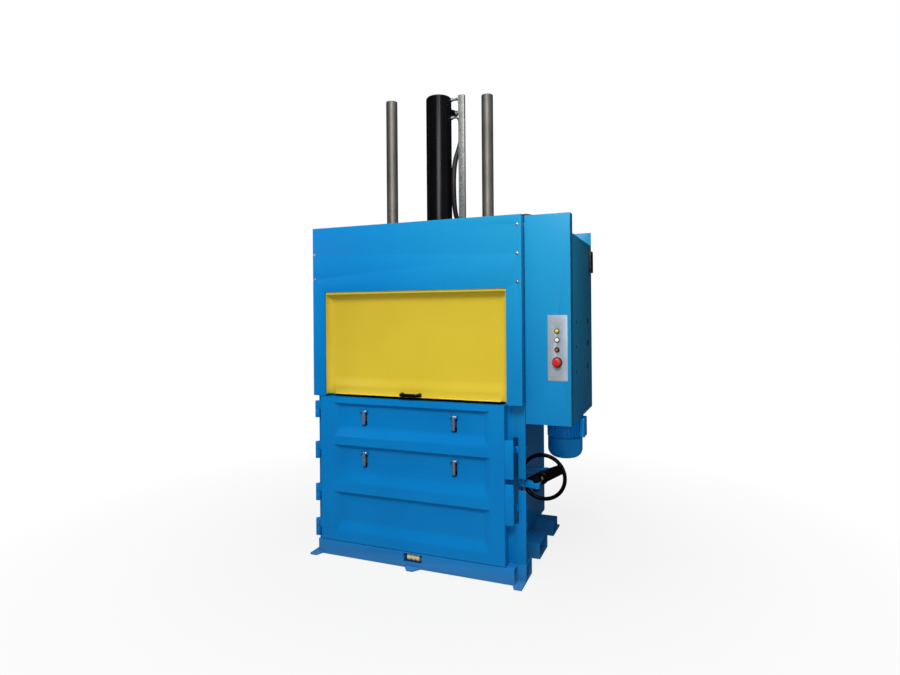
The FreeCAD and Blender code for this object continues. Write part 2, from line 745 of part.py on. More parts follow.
def piston():
    """Piston on the rod's seat, with two ring grooves."""
    outer = BARREL_BORE_R - RUN_FIT
    groove = outer - 4.0
    outline = [(PISTON_SEAT_R + SEAT_FIT, 0), (outer, 0), (outer, 14), (groove, 14), (groove, 22),
               (outer, 22), (outer, 38), (groove, 38), (groove, 46), (outer, 46),
               (outer, PISTON_HEIGHT), (PISTON_SEAT_R + SEAT_FIT, PISTON_HEIGHT)]
    return revolve(outline, vec(0, 0, piston_bottom()), X, Z)


def guide_columns():
    """Round columns with welded feet that stand on the platen and slide in the crosshead."""
    return [fuse([rod(vec(x, y, PLATEN_RIB_TOP), Z, COLUMN_R, COLUMN_TOP - PLATEN_RIB_TOP),
                  rod(vec(x, y, PLATEN_RIB_TOP), Z, COLUMN_FOOT_R, COLUMN_FOOT)])
            for x, y in column_places()]


def platen():
    """Welded platen with strap channels below, ribs above and notches for the retaining dogs."""
    half = CHAMBER_HALF - PLATEN_SIDE_GAP
    y0 = FRONT + PLATEN_GAP
    y1 = FRONT + CHAMBER_DEPTH - PLATEN_GAP
    plate_top = PLATEN_BOTTOM + PLATEN_PLATE
    pieces = [box(-half, half, y0, y1, PLATEN_BOTTOM, plate_top)]
    slots = []
    for x in STRAP_SLOTS_X:
        inner = STRAP_SLOT_WIDTH / 2
        outer = inner + STRAP_SLOT_WALL
        roof = PLATEN_BOTTOM + STRAP_SLOT_DEPTH
        pieces.append(box(x - outer, x + outer, y0, y1, PLATEN_BOTTOM, roof + STRAP_SLOT_WALL))
        slots.append(box(x - inner, x + inner, y0 - 1, y1 + 1, PLATEN_BOTTOM - 1, roof))
    for y in PLATEN_RIBS_Y:
        pieces.append(box(-half, half, y - PLATEN_RIB / 2, y + PLATEN_RIB / 2, plate_top,
                          PLATEN_RIB_TOP - PLATEN_PLATE))
    inner_ribs = PLATEN_RIBS_Y[2] + PLATEN_RIB / 2
    pieces.append(box(-PLATEN_TOP_HALF, PLATEN_TOP_HALF, -inner_ribs, inner_ribs,
                      PLATEN_RIB_TOP - PLATEN_PLATE, PLATEN_RIB_TOP))
    pieces.append(rod(vec(0, 0, PLATEN_RIB_TOP), Z, ROD_FOOT_R, BOSS_HEIGHT))
    whole = fuse(pieces)
    notch_back = FRONT + DOG_REACH + 8.0
    notches = [box(x - DOG_THICK * 2, x + DOG_THICK * 2, y0 - 1, notch_back,
                   PLATEN_BOTTOM - 1, PLATEN_RIB_TOP) for x in DOG_X]
    return whole.cut(Part.makeCompound(slots + notches))


# ---------------------------------------------------------------- rail and hoses
def hose_rail():
    """Folded channel beside the barrel, open to the back."""
    x0 = RAIL_X - RAIL_WIDTH / 2
    x1 = RAIL_X + RAIL_WIDTH / 2
    z0 = CROSS_BOTTOM + CROSS_HEIGHT
    shell = box(x0, x1, RAIL_Y, RAIL_Y + RAIL_DEPTH, z0, RAIL_TOP)
    hollow = box(x0 + RAIL_SHEET, x1 - RAIL_SHEET, RAIL_Y + RAIL_SHEET, RAIL_Y + RAIL_DEPTH,
                 z0, RAIL_TOP)
    rail = shell.cut(hollow)
    holes = [rod(vec(x0 - 1, stud_y(), z), X, STUD_R + SCREW_CLEAR, RAIL_SHEET + 2)
             for z in STUD_LEVELS]
    return rail.cut(Part.makeCompound(holes))


def stud_y():
    """Middle of the rail's hollow."""
    return RAIL_Y + (RAIL_SHEET + RAIL_DEPTH) / 2


def rail_studs():
    """Threaded stand-offs with nuts either side of the rail's leg."""
    y = stud_y()
    start = math.sqrt(BARREL_R ** 2 - y ** 2) + 0.5
    leg = RAIL_X - RAIL_WIDTH / 2
    studs = []
    for z in STUD_LEVELS:
        pieces = [rod(vec(start, y, z), X, STUD_R, leg + 20 - start),
                  hexagon(vec(leg - STUD_NUT, y, z), X, 2 * STUD_NUT_R * 0.9, STUD_NUT),
                  hexagon(vec(leg + RAIL_SHEET, y, z), X, RAIL_NUT, STUD_NUT),
                  hexagon(vec(start + 6, y, z), X, 2 * STUD_NUT_R * 0.9, STUD_NUT)]
        studs.append(fuse(pieces))
    return studs


def hoses():
    """The two pressure hoses from the barrel's ports to the cabinet."""
    ahead = port_direction()
    reach = BARREL_R + PORT_OUT
    port = ahead * reach + Z * PORT_TOP_Z
    down = CAB_BOX_TOP + HOSE_FITTING
    levels = [PORT_TOP_Z - share * (PORT_TOP_Z - HOSE_RUN_Z) for share in HOSE_DROPS]
    upper = [port, port + ahead * 46, vec(152, 62, levels[0]), vec(135, 60, levels[1]),
             vec(HOSE_DROP_X, HOSE_FRONT_Y, levels[2]),
             vec(HOSE_DROP_X, HOSE_FRONT_Y, levels[3]),
             vec(HOSE_DROP_X, HOSE_RAIL_Y, HOSE_RUN_Z),
             vec(RAIL_X + 42, HOSE_RAIL_Y, HOSE_RUN_Z),
             vec(RAIL_X + 127, HOSE_FRONT_Y + 2, HOSE_RUN_Z),
             vec(HOSE_DIP_X, HOSE_FRONT_Y, HOSE_RUN_Z),
             vec(HOSE_END_X, HOSE_FRONT_Y, HOSE_DIP_Z), vec(HOSE_END_X, HOSE_FRONT_Y, down)]
    low = vec(0, reach, PORT_LOW_Z)
    lower = [low, low + Y * 50, vec(70, reach + 62, HOSE_RUN_Z), vec(240, HOSE_BACK_Y, HOSE_RUN_Z),
             vec(HOSE_DIP_X, HOSE_BACK_Y, HOSE_RUN_Z),
             vec(HOSE_END_X, HOSE_BACK_Y, HOSE_DIP_Z), vec(HOSE_END_X, HOSE_BACK_Y, down)]
    return [pipe(upper, (36, 80, 60, 80, 80, 66, 80, 80, 100, 60), HOSE_R, HOSE_SIDES),
            pipe(lower, (48, 60, 100, 100, 60), HOSE_R, HOSE_SIDES)]


def hose_fittings():
    """Bulkhead fittings where the hoses enter the cabinet."""
    return [fuse([rod(vec(HOSE_END_X, y, CAB_BOX_TOP), Z, HOSE_R + 5, HOSE_FITTING * 0.5),
                  hexagon(vec(HOSE_END_X, y, CAB_BOX_TOP + HOSE_FITTING * 0.5), Z,
                          2 * HOSE_R + 8, HOSE_FITTING * 0.5)]) for y in (HOSE_FRONT_Y, HOSE_BACK_Y)]


# ---------------------------------------------------------------- front cover
def cover_front():
    return FRONT - COVER_PROUD


def front_cover():
    """Folded sheet round the feed opening, with side returns to the flanges."""
    y0 = cover_front()
    outer = round_edges(box(-FLANGE_OUT, FLANGE_OUT, y0, FRONT + 20, COVER_BOTTOM, COVER_TOP),
                        COVER_BEND, Z, lambda middle: middle.y < y0 + 1)
    inner = round_edges(box(-FLANGE_OUT + COVER_SHEET, FLANGE_OUT - COVER_SHEET, y0 + COVER_SHEET,
                            FRONT + 21, COVER_BOTTOM - 1, COVER_TOP + 1),
                        COVER_BEND - COVER_SHEET, Z, lambda middle: middle.y < y0 + COVER_SHEET + 1)
    shell = outer.cut(inner).cut(box(-FLANGE_OUT - 1, FLANGE_OUT + 1, FRONT, FRONT + 30, 0, 3000))
    window = box(-WINDOW_HALF, WINDOW_HALF, y0 - 1, y0 + COVER_SHEET + 1, COVER_BOTTOM - 1, WINDOW_TOP)
    shell = shell.cut(window)
    lips = [box(x0, x0 + COVER_SHEET, y0 + COVER_SHEET, y0 + COVER_SHEET + COVER_LIP,
                COVER_BOTTOM, WINDOW_TOP) for x0 in (-WINDOW_HALF - COVER_SHEET, WINDOW_HALF)]
    whole = fuse([shell] + lips)
    holes = [rod(vec(x, y0 - 1, z), Y, SCREW_R + SCREW_CLEAR, COVER_SHEET + 2)
             for x, z in COVER_SCREWS]
    return whole.cut(Part.makeCompound(holes))


def cover_screws():
    """Round-headed screws of the cover in hexagon bosses on the flanges."""
    y0 = cover_front()
    screws = []
    for x, z in COVER_SCREWS:
        screw = revolve([(0, -COVER_SHEET - 1), (SCREW_R, -COVER_SHEET - 1), (SCREW_R, 0),
                         (SCREW_HEAD_R, 0), (SCREW_HEAD_R, SCREW_HEAD * 0.4),
                         (SCREW_HEAD_R * 0.6, SCREW_HEAD), (0, SCREW_HEAD)],
                        vec(x, y0, z), X, Y * -1.0)
        boss = hexagon(vec(x, y0 + COVER_SHEET, z), Y, BOSS_ACROSS, COVER_PROUD - COVER_SHEET)
        screws.append(fuse([screw, boss]))
    return screws


# ---------------------------------------------------------------- lifting guard
def guard_outline(inset):
    """Plan outline of the guard's dished sheet, its surface moved in by an inset."""
    half = GUARD_HALF - inset
    back = FRONT + GUARD_BACK - inset
    radius = GUARD_BEND - inset
    front = FRONT + GUARD_FRONT
    left = Part.LineSegment(vec(-half, front, 0), vec(-half, back - radius, 0)).toShape()
    bit = radius * math.sqrt(0.5)
    arc_left = Part.Arc(vec(-half, back - radius, 0),
                        vec(-half + radius - bit, back - radius + bit, 0),
                        vec(-half + radius, back, 0)).toShape()
    flat = Part.LineSegment(vec(-half + radius, back, 0), vec(half - radius, back, 0)).toShape()
    arc_right = Part.Arc(vec(half - radius, back, 0),
                         vec(half - radius + bit, back - radius + bit, 0),
                         vec(half, back - radius, 0)).toShape()
    right = Part.LineSegment(vec(half, back - radius, 0), vec(half, front, 0)).toShape()
    close = Part.LineSegment(vec(half, front, 0), vec(-half, front, 0)).toShape()
    return Part.Face(Part.Wire([left, arc_left, flat, arc_right, right, close]))


def guard_block(inset, z0, z1):
    face = guard_outline(inset)
    face.translate(vec(0, 0, z0))
    return face.extrude(Z * (z1 - z0))


def guard_panel():
    """Dished guard sheet with a stiffening lip along its top and a hem along its foot."""
    sheet = guard_block(0, GUARD_BOTTOM, GUARD_FLANGE_Z).cut(
        guard_block(GUARD_SHEET, GUARD_BOTTOM - 1, GUARD_FLANGE_Z + 1))
    shelf = guard_block(0, GUARD_FLANGE_Z - GUARD_SHEET, GUARD_FLANGE_Z)
    front = FRONT + GUARD_FRONT
    lip = box(-GUARD_HALF, GUARD_HALF, front, front + GUARD_SHEET, GUARD_FLANGE_Z - GUARD_SHEET,
              GUARD_LIP_TOP)
    face = FRONT + GUARD_BACK
    hem = box(-GUARD_HALF + GUARD_BEND, GUARD_HALF - GUARD_BEND, face - 18, face,
              GUARD_BOTTOM, GUARD_BOTTOM + GUARD_SHEET)
    return fuse([sheet, shelf, lip, hem])


def guard_shoes():
    """Plastic sliding shoes behind the guard's curved sides."""
    shoes = []
    back = FRONT - RAIL_U_SHEET - SHOE_CLEAR
    front = FRONT - RAIL_U_DEPTH + RAIL_U_SHEET + SHOE_CLEAR
    for z in SHOE_LEVELS:
        block = box(GUARD_HALF - GUARD_BEND, RAIL_U_OUTER - SHOE_CLEAR, front, back,
                    z, z + SHOE_LENGTH)
        block = block.cut(guard_block(0, z - 1, z + SHOE_LENGTH + 1))
        shoes.append(block)
        shoes.append(mirror_x(block))
    return shoes


def guard_rails():
    """Channels on the flanges that the shoes run in, with a stop block in each foot."""
    shell = box(RAIL_U_INNER, RAIL_U_OUTER + RAIL_U_SHEET, FRONT - RAIL_U_DEPTH, FRONT,
                RAIL_U_BOTTOM, RAIL_U_TOP)
    slot = box(RAIL_U_INNER - 1, RAIL_U_OUTER, FRONT - RAIL_U_DEPTH + RAIL_U_SHEET,
               FRONT - RAIL_U_SHEET, SHOE_LEVELS[0] - 0.4, RAIL_U_TOP + 1)
    rail = shell.cut(slot)
    return [rail, mirror_x(rail)]


def guard_handle():
    """Bow handle at the foot of the guard."""
    face = FRONT + GUARD_BACK - GUARD_SHEET
    out = face - HANDLE_OUT
    half = HANDLE_WIDTH / 2 - HANDLE_BAR_R
    left = HANDLE_X - half
    right = HANDLE_X + half
    bow = pipe([vec(left, face, HANDLE_Z), vec(left, out, HANDLE_Z), vec(right, out, HANDLE_Z),
                vec(right, face, HANDLE_Z)], (24, 24), HANDLE_BAR_R, 12)
    feet = [rod(vec(x, face - 6, HANDLE_Z), Y, HANDLE_BAR_R + 1.2, 6) for x in (left, right)]
    return fuse([bow] + feet)


# ---------------------------------------------------------------- bale door
def door_front():
    return FRONT - DOOR_PROUD


def pocket_floor():
    return door_front() + POCKET_DEPTH


def door_shell():
    """Hollow door: pressed front with three bevelled pockets, plain plate to the chamber."""
    y0 = door_front()
    y1 = FRONT - DOOR_BACK
    block = round_edges(box(DOOR_LEFT, DOOR_RIGHT, y0, y1, DOOR_BOTTOM, DOOR_TOP), 4.0, Z,
                        lambda middle: middle.y < y0 + 1)
    cavity = box(DOOR_LEFT + DOOR_SHEET, DOOR_RIGHT - DOOR_SHEET, y0 + DOOR_SHEET, y1 - DOOR_INNER,
                 DOOR_BOTTOM + DOOR_SHEET, DOOR_TOP - DOOR_SHEET)
    for z0, z1, bevel in POCKETS:
        low = z0 + RIB_BAND
        rise = bevel
        pocket = frustum_pocket(POCKET_LEFT, POCKET_RIGHT, low, z1, y0, pocket_floor(),
                                POCKET_BEVEL_LEFT, POCKET_BEVEL_RIGHT, rise)
        skin = frustum_pocket(POCKET_LEFT - DOOR_SHEET, POCKET_RIGHT + DOOR_SHEET,
                              low - DOOR_SHEET, z1 + DOOR_SHEET, y0, pocket_floor() + DOOR_SHEET,
                              POCKET_BEVEL_LEFT, POCKET_BEVEL_RIGHT, rise)
        block = block.cut(pocket)
        cavity = cavity.cut(skin)
    block = block.cut(cavity)
    for x, level in dog_places():
        slot = box(x - DOG_SLOT_HALF, x + DOG_SLOT_HALF, y0 - 1, y1 + 1,
                   level - DOG_SLOT_BOTTOM, level + DOG_SLOT_TOP)
        block = block.cut(slot)
    return block


def dog_places():
    """Positions of the four retaining dogs."""
    return [(x, level) for level in DOG_LEVELS for x in DOG_X]


def dog_lugs():
    """Pairs of lugs on the pocket floors that carry the dog pins."""
    lugs = []
    y1 = pocket_floor()
    y_pin = FRONT + DOG_PIVOT_Y
    for x, level in dog_places():
        z_pin = level + DOG_PIVOT_UP
        for x0 in (x - LUG_HALF - LUG_PLATE, x + LUG_HALF):
            plate = fuse([box(x0, x0 + LUG_PLATE, y_pin, y1, z_pin - 12, z_pin + 12),
                          rod(vec(x0, y_pin, z_pin), X, 9.5, LUG_PLATE)])
            lugs.append(plate.cut(rod(vec(x0 - 1, y_pin, z_pin), X, DOG_PIN_R + SEAT_FIT,
                                      LUG_PLATE + 2)))
    return lugs


def dog_pins():
    """Pins through each pair of lugs."""
    half = LUG_HALF + LUG_PLATE + 3
    return [rod(vec(x - half, FRONT + DOG_PIVOT_Y, level + DOG_PIVOT_UP), X, DOG_PIN_R, 2 * half)
            for x, level in dog_places()]


def retaining_dog(x, level):
    """One dog: eye and grip plate outside, tooth through the door into the chamber."""
    y_pin = FRONT + DOG_PIVOT_Y
    z_pin = level + DOG_PIVOT_UP
    front = y_pin - 9.5
    back = y_pin + 6.5
    outline = [vec(x, front, z_pin), vec(x, front, level - 44), vec(x, front + 5, level - 50),
               vec(x, back, level - 50), vec(x, back, level - 30),
               vec(x, FRONT + DOG_REACH, level - 30), vec(x, FRONT + DOG_REACH, level - 24),
               vec(x, FRONT - 8, level), vec(x, back, level + 18), vec(x, back, z_pin)]
    blank = prism(outline, X * DOG_THICK)
    eye = rod(vec(x, y_pin, z_pin), X, 9.5, DOG_THICK)
    whole = fuse([blank, eye]).cut(rod(vec(x - 1, y_pin, z_pin), X, DOG_PIN_R + RUN_FIT,
                                       DOG_THICK + 2))
    whole.translate(vec(-DOG_THICK / 2, 0, 0))
    return whole


def dog_spring(x, level):
    """The small closed torsion coil on the pin beside a dog, as a plain sleeve."""
    start = vec(x + DOG_THICK / 2 + RUN_GAP, FRONT + DOG_PIVOT_Y, level + DOG_PIVOT_UP)
    return tube(start, X, SLEEVE_R, SLEEVE_R - SLEEVE_WALL, SLEEVE_LENGTH)


def lock_plates():
    """Plates on the door's free edge with the hooked tabs that pass through the flange slots."""
    plates = []
    y0 = door_front()
    y1 = y0 + LOCK_PLATE_THICK
    for (z0, z1), level in zip(LOCK_PLATES, CLAW_LEVELS):
        low = level - CLAW_HEIGHT / 2 - 5
        high = level + CLAW_HEIGHT / 2 + 5
        web = box(TAB_LEFT, TAB_LEFT + TAB_WEB, y1, FRONT + TAB_NOSE_BACK, low, high)
        nose = box(TAB_LEFT, TAB_LEFT + TAB_WEB + TAB_NOSE, FRONT + TAB_NOSE_FRONT,
                   FRONT + TAB_NOSE_BACK, low, high)
        plate = round_edges(box(DOOR_RIGHT, LOCK_PLATE_RIGHT, y0, y1, z0, z1), 8.0, Y,
                            lambda middle: middle.x > LOCK_PLATE_RIGHT - 1)
        plates.append(fuse([plate, web, nose]))
    return plates


# ---------------------------------------------------------------- hinges
def hinge_halves():
    """Frame knuckles below, door knuckles above, each with its leaf."""
    frame_side = []
    door_side = []
    half = HINGE_LENGTH / 2
    y = FRONT + HINGE_Y
    for level in HINGE_LEVELS:
        low = level - half
        split = level - HINGE_GAP / 2
        knuckle = fuse([rod(vec(HINGE_X, y, low), Z, HINGE_R, split - low),
                        box(HINGE_X - HINGE_LEAF / 2, HINGE_X + HINGE_LEAF / 2, y, FRONT, low, split)])
        frame_side.append(knuckle.cut(rod(vec(HINGE_X, y, low - 1), Z, HINGE_PIN_R + SEAT_FIT,
                                          HINGE_LENGTH)))
        start = level + HINGE_GAP / 2
        knuckle = fuse([rod(vec(HINGE_X, y, start), Z, HINGE_R, level + half - start),
                        box(HINGE_X, DOOR_LEFT, y - HINGE_LEAF / 2, y + HINGE_LEAF / 2,
                            start, level + half)])
        door_side.append(knuckle.cut(rod(vec(HINGE_X, y, low), Z, HINGE_PIN_R + RUN_FIT,
                                         HINGE_LENGTH + 10)))
    return frame_side, door_side


def hinge_pins():
    """Headed pins held in the frame knuckles."""
    half = HINGE_LENGTH / 2
    y = FRONT + HINGE_Y
    pins = []
    for level in HINGE_LEVELS:
        pins.append(rod(vec(HINGE_X, y, level - half), Z, HINGE_PIN_R, HINGE_LENGTH))
    return pins


def hinge_washers():
    """Thin washers between the knuckles."""
    y = FRONT + HINGE_Y
    return [tube(vec(HINGE_X, y, level - HINGE_GAP / 2), Z, HINGE_R - 2, HINGE_PIN_R + SEAT_FIT,
                 WASHER) for level in HINGE_LEVELS]


# ---------------------------------------------------------------- door lock
def shaft_point(z):
    return vec(SHAFT_X, FRONT + SHAFT_Y, z)


def lock_shaft():
    """Upright shaft behind the right flange."""
    return rod(shaft_point(SHAFT_BOTTOM), Z, SHAFT_R, SHAFT_TOP - SHAFT_BOTTOM)


def lock_bearings():
    """Bored blocks on the side wall that carry the shaft."""
    blocks = []
    wall = CHAMBER_HALF + WALL
    for z in (SHAFT_BOTTOM + BEARING_INSET, SHAFT_TOP - BEARING_INSET - BEARING_HEIGHT):
        y = FRONT + SHAFT_Y
        block = fuse([box(wall, SHAFT_X, y - SHAFT_R - 10, y + SHAFT_R + 10, z, z + BEARING_HEIGHT),
                      rod(shaft_point(z), Z, SHAFT_R + 10, BEARING_HEIGHT)])
        blocks.append(block.cut(rod(shaft_point(z - 1), Z, SHAFT_R + RUN_FIT, BEARING_HEIGHT + 2)))
    return blocks


def lock_claws():
    """Claws on the shaft, shown turned back from the tab noses."""
    claws = []
    nose_left = TAB_LEFT + TAB_WEB + 1.0
    finger_left = TAB_LEFT + TAB_WEB + TAB_NOSE + 2.0
    finger_right = finger_left + 20.0
    for level in CLAW_LEVELS:
        z = level - CLAW_HEIGHT / 2
        hub = rod(shaft_point(z), Z, CLAW_HUB_R, CLAW_HEIGHT)
        finger = prism([vec(nose_left, FRONT + HOOK_FRONT + 5, z),
                        vec(nose_left + 5, FRONT + HOOK_FRONT, z),
                        vec(finger_right - 6, FRONT + HOOK_FRONT, z),
                        vec(finger_right + 10, FRONT + SHAFT_Y, z),
                        vec(finger_left, FRONT + SHAFT_Y, z),
                        vec(finger_left, FRONT + HOOK_BACK, z),
                        vec(nose_left, FRONT + HOOK_BACK, z)], Z * CLAW_HEIGHT)
        claw = fuse([hub, finger]).cut(rod(shaft_point(z - 1), Z, SHAFT_R + SEAT_FIT,
                                           CLAW_HEIGHT + 2))
        claw.rotate(shaft_point(0), Z, LOCK_ANGLE)
        claws.append(claw)
    return claws


def arm_reach():
    """Start and end of the pin's way along the arm and the arm's direction at rest."""
    dx = SPINDLE_X - SHAFT_X
    dy = CLEVIS_PIN_Y - SHAFT_Y
    heading = math.atan2(dy, dx)
    near = math.hypot(dx, dy)
    far = dx / math.cos(heading - math.radians(LOCK_ANGLE))
    return near, far, heading


def lock_travel():
    """Way of the spindle from released to locked."""
    near, far, heading = arm_reach()
    return (SHAFT_Y - CLEVIS_PIN_Y) * -1.0 - far * math.sin(heading - math.radians(LOCK_ANGLE))


def lock_arm():
    """Arm on the shaft with a slotted eye for the clevis pin."""
    near, far, heading = arm_reach()
    z = ARM_LEVEL - ARM_HEIGHT / 2
    centre = shaft_point(z)
    pieces = [rod(centre, Z, ARM_HUB_R, ARM_HEIGHT),
              prism([centre + vec(0, -ARM_HUB_R + 6, 0), centre + vec(near, -ARM_TIP_R, 0),
                     centre + vec(far, -ARM_TIP_R, 0), centre + vec(far, ARM_TIP_R, 0),
                     centre + vec(near, ARM_TIP_R, 0), centre + vec(0, ARM_HUB_R - 6, 0)],
                    Z * ARM_HEIGHT),
              rod(centre + vec(far, 0, 0), Z, ARM_TIP_R, ARM_HEIGHT)]
    half = CLEVIS_PIN_R + PIN_SLOT_CLEAR
    slot = fuse([box(SHAFT_X + near, SHAFT_X + far, centre.y - half, centre.y + half, z - 1,
                     z + ARM_HEIGHT + 1),
                 rod(centre + vec(near, 0, -1), Z, half, ARM_HEIGHT + 2),
                 rod(centre + vec(far, 0, -1), Z, half, ARM_HEIGHT + 2)])
    arm = fuse(pieces).cut(slot).cut(rod(centre - Z, Z, SHAFT_R + SEAT_FIT, ARM_HEIGHT + 2))
    arm.rotate(centre, Z, math.degrees(heading))
    return arm


def clevis_levels():
    low = ARM_LEVEL - ARM_HEIGHT / 2 - CLEVIS_GAP
    high = ARM_LEVEL + ARM_HEIGHT / 2 + CLEVIS_GAP
    return low - CLEVIS_PRONG, low, high, high + CLEVIS_PRONG


def lock_clevis():
    """Fork that pushes the arm; its block takes the spindle's nose and collar."""
    bottom, low, high, top = clevis_levels()
    x0 = SPINDLE_X - CLEVIS_HALF
    x1 = SPINDLE_X + CLEVIS_HALF
    y_pin = FRONT + CLEVIS_PIN_Y
    back = FRONT + CLEVIS_BODY_BACK
    pieces = [box(x0, x1, FRONT + CLEVIS_BODY_FRONT, back, bottom, top)]
    for z0, z1 in ((bottom, low), (high, top)):
        pieces.append(box(x0, x1, y_pin, FRONT + CLEVIS_BODY_FRONT, z0, z1))
        pieces.append(rod(vec(SPINDLE_X, y_pin, z0), Z, CLEVIS_HALF, z1 - z0))
    whole = fuse(pieces)
    whole = whole.cut(rod(vec(SPINDLE_X, y_pin, bottom - 1), Z, CLEVIS_PIN_R + SEAT_FIT,
                          top - bottom + 2))
    nose = rod(vec(SPINDLE_X, spindle_nose() - COLLAR_GAP, ARM_LEVEL), Y, SPINDLE_R + RUN_FIT, 60)
    seat = rod(vec(SPINDLE_X, back - COLLAR - 2 * COLLAR_GAP, ARM_LEVEL), Y,
               COLLAR_R + COLLAR_GAP, 60)
    return whole.cut(nose).cut(seat)


def spindle_nose():
    return FRONT + CLEVIS_BODY_FRONT + 5.0


def clevis_keeper():
    """Plate that holds the spindle's collar in the clevis."""
    bottom, _, _, top = clevis_levels()
    back = FRONT + CLEVIS_BODY_BACK
    plate = box(SPINDLE_X - CLEVIS_HALF, SPINDLE_X + CLEVIS_HALF, back, back + KEEPER, bottom, top)
    plate = plate.cut(rod(vec(SPINDLE_X, back - 1, ARM_LEVEL), Y, SPINDLE_R + RUN_FIT, KEEPER + 2))
    return plate


def clevis_pin():
    bottom, _, _, top = clevis_levels()
    return rod(vec(SPINDLE_X, FRONT + CLEVIS_PIN_Y, bottom), Z, CLEVIS_PIN_R, top - bottom)


def spindle():
    """Threaded spindle with a thrust collar near its nose."""
    start = spindle_nose()
    collar = FRONT + CLEVIS_BODY_BACK - COLLAR - COLLAR_GAP
    return fuse([rod(vec(SPINDLE_X, start, ARM_LEVEL), Y, SPINDLE_R, FRONT + SPINDLE_END - start),
                 rod(vec(SPINDLE_X, collar, ARM_LEVEL), Y, COLLAR_R, COLLAR)])


def spindle_bracket():
    """Bracket on the side wall with the spindle's nut."""
    wall = CHAMBER_HALF + WALL
    y0 = FRONT + BRACKET_FRONT
    y1 = FRONT + BRACKET_BACK
    z = ARM_LEVEL
    arms = [box(wall, SPINDLE_X, y0, y1, z + side * BRACKET_HALF_HEIGHT - BRACKET_PLATE / 2,
                z + side * BRACKET_HALF_HEIGHT + BRACKET_PLATE / 2) for side in (-1, 1)]
    arms.append(box(wall, wall + BRACKET_PLATE, y0, y1, z - 2 * BRACKET_HALF_HEIGHT,
                    z + 2 * BRACKET_HALF_HEIGHT))
    arms.append(rod(vec(SPINDLE_X, y0, z), Y, BRACKET_R, y1 - y0))
    whole = fuse(arms)
    return whole.cut(rod(vec(SPINDLE_X, y0 - 1, z), Y, SPINDLE_R + RUN_FIT, y1 - y0 + 2))


def handwheel():
    """Wheel with a round rim, a long hub and one broad, tapering web on each side of it."""
    centre = vec(SPINDLE_X, FRONT + WHEEL_Y, ARM_LEVEL)
    section = [(WHEEL_R + WHEEL_RIM_R * math.cos(math.pi * (side + 0.5) / 4),
                WHEEL_RIM_R * math.sin(math.pi * (side + 0.5) / 4)) for side in range(8)]
    rim = revolve(section, centre, X, Y)
    hub = rod(vec(SPINDLE_X, FRONT + WHEEL_HUB_FRONT, ARM_LEVEL), Y, WHEEL_HUB_R,
              WHEEL_HUB_BACK - WHEEL_HUB_FRONT)
    pieces = [rim, hub]
    for index in range(WHEEL_SPOKES):
        angle = WHEEL_SPOKE_ANGLE + 360.0 / WHEEL_SPOKES * index
        y0 = centre.y - SPOKE_THICK / 2
        reach = WHEEL_R
        spoke = prism([vec(SPINDLE_X, y0, ARM_LEVEL - SPOKE_AT_HUB / 2),
                       vec(SPINDLE_X + WHEEL_HUB_R, y0, ARM_LEVEL - SPOKE_AT_HUB / 2),
                       vec(SPINDLE_X + reach, y0, ARM_LEVEL - SPOKE_AT_RIM / 2),
                       vec(SPINDLE_X + reach, y0, ARM_LEVEL + SPOKE_AT_RIM / 2),
                       vec(SPINDLE_X + WHEEL_HUB_R, y0, ARM_LEVEL + SPOKE_AT_HUB / 2),
                       vec(SPINDLE_X, y0, ARM_LEVEL + SPOKE_AT_HUB / 2)], Y * SPOKE_THICK)
        spoke.rotate(centre, Y, -angle)
        pieces.append(spoke)
    whole = fuse(pieces)
    return whole.cut(rod(vec(SPINDLE_X, FRONT + WHEEL_HUB_FRONT - 1, ARM_LEVEL), Y,
                         SPINDLE_R + SEAT_FIT, WHEEL_HUB_BACK - WHEEL_HUB_FRONT + 2))


# ---------------------------------------------------------------- cabinet
def cabinet_left():
    return FLANGE_OUT + CAB_JOIN


def control_holes():
    """Cutters for the control stems through the plate and the front pan."""
    holes = [rod(vec(CONTROL_X, FRONT - 20, z), Y, STEM_R + SCREW_CLEAR, 40)
             for z in (LAMP_Z, START_Z, SELECTOR_Z, STOP_Z)]
    return Part.makeCompound(holes)


def cabinet_front():
    """Front pan of the cabinet with folded sides, top and foot."""
    x0 = cabinet_left()
    y1 = FRONT + CAB_PAN_DEPTH
    pan = round_edges(box(x0, CAB_RIGHT, FRONT, y1, CAB_BOTTOM, COVER_TOP), 4.0, Z,
                      lambda middle: middle.y < FRONT + 1)
    hollow = box(x0 + CAB_SHEET, CAB_RIGHT - CAB_SHEET, FRONT + CAB_SHEET, y1 + 1,
                 CAB_BOTTOM + CAB_SHEET, COVER_TOP - CAB_SHEET)
    return pan.cut(hollow).cut(control_holes())


def cabinet_box():
    """Cabinet body behind the pan, open at the front, with a hole for the drive coupling."""
    x0 = cabinet_left()
    y0 = FRONT + CAB_PAN_DEPTH
    y1 = FRONT + CAB_BACK - REAR_PLATE
    shell = box(x0, CAB_RIGHT, y0, y1, CAB_BOTTOM, CAB_BOX_TOP)
    hollow = box(x0 + CAB_SHEET, CAB_RIGHT - CAB_SHEET, y0 - 1, y1 + 1,
                 CAB_BOTTOM + CAB_SHEET, CAB_BOX_TOP - CAB_SHEET)
    opening = rod(vec(MOTOR_X, MOTOR_Y, CAB_BOTTOM - 1), Z, BELL_R - 12, CAB_SHEET + 2)
    return shell.cut(hollow).cut(opening)


def cabinet_rear():
    """Rear plate of the cabinet, taller than its box."""
    y1 = FRONT + CAB_BACK
    return box(cabinet_left(), CAB_RIGHT, y1 - REAR_PLATE, y1, CAB_BOTTOM, CAB_REAR_TOP)


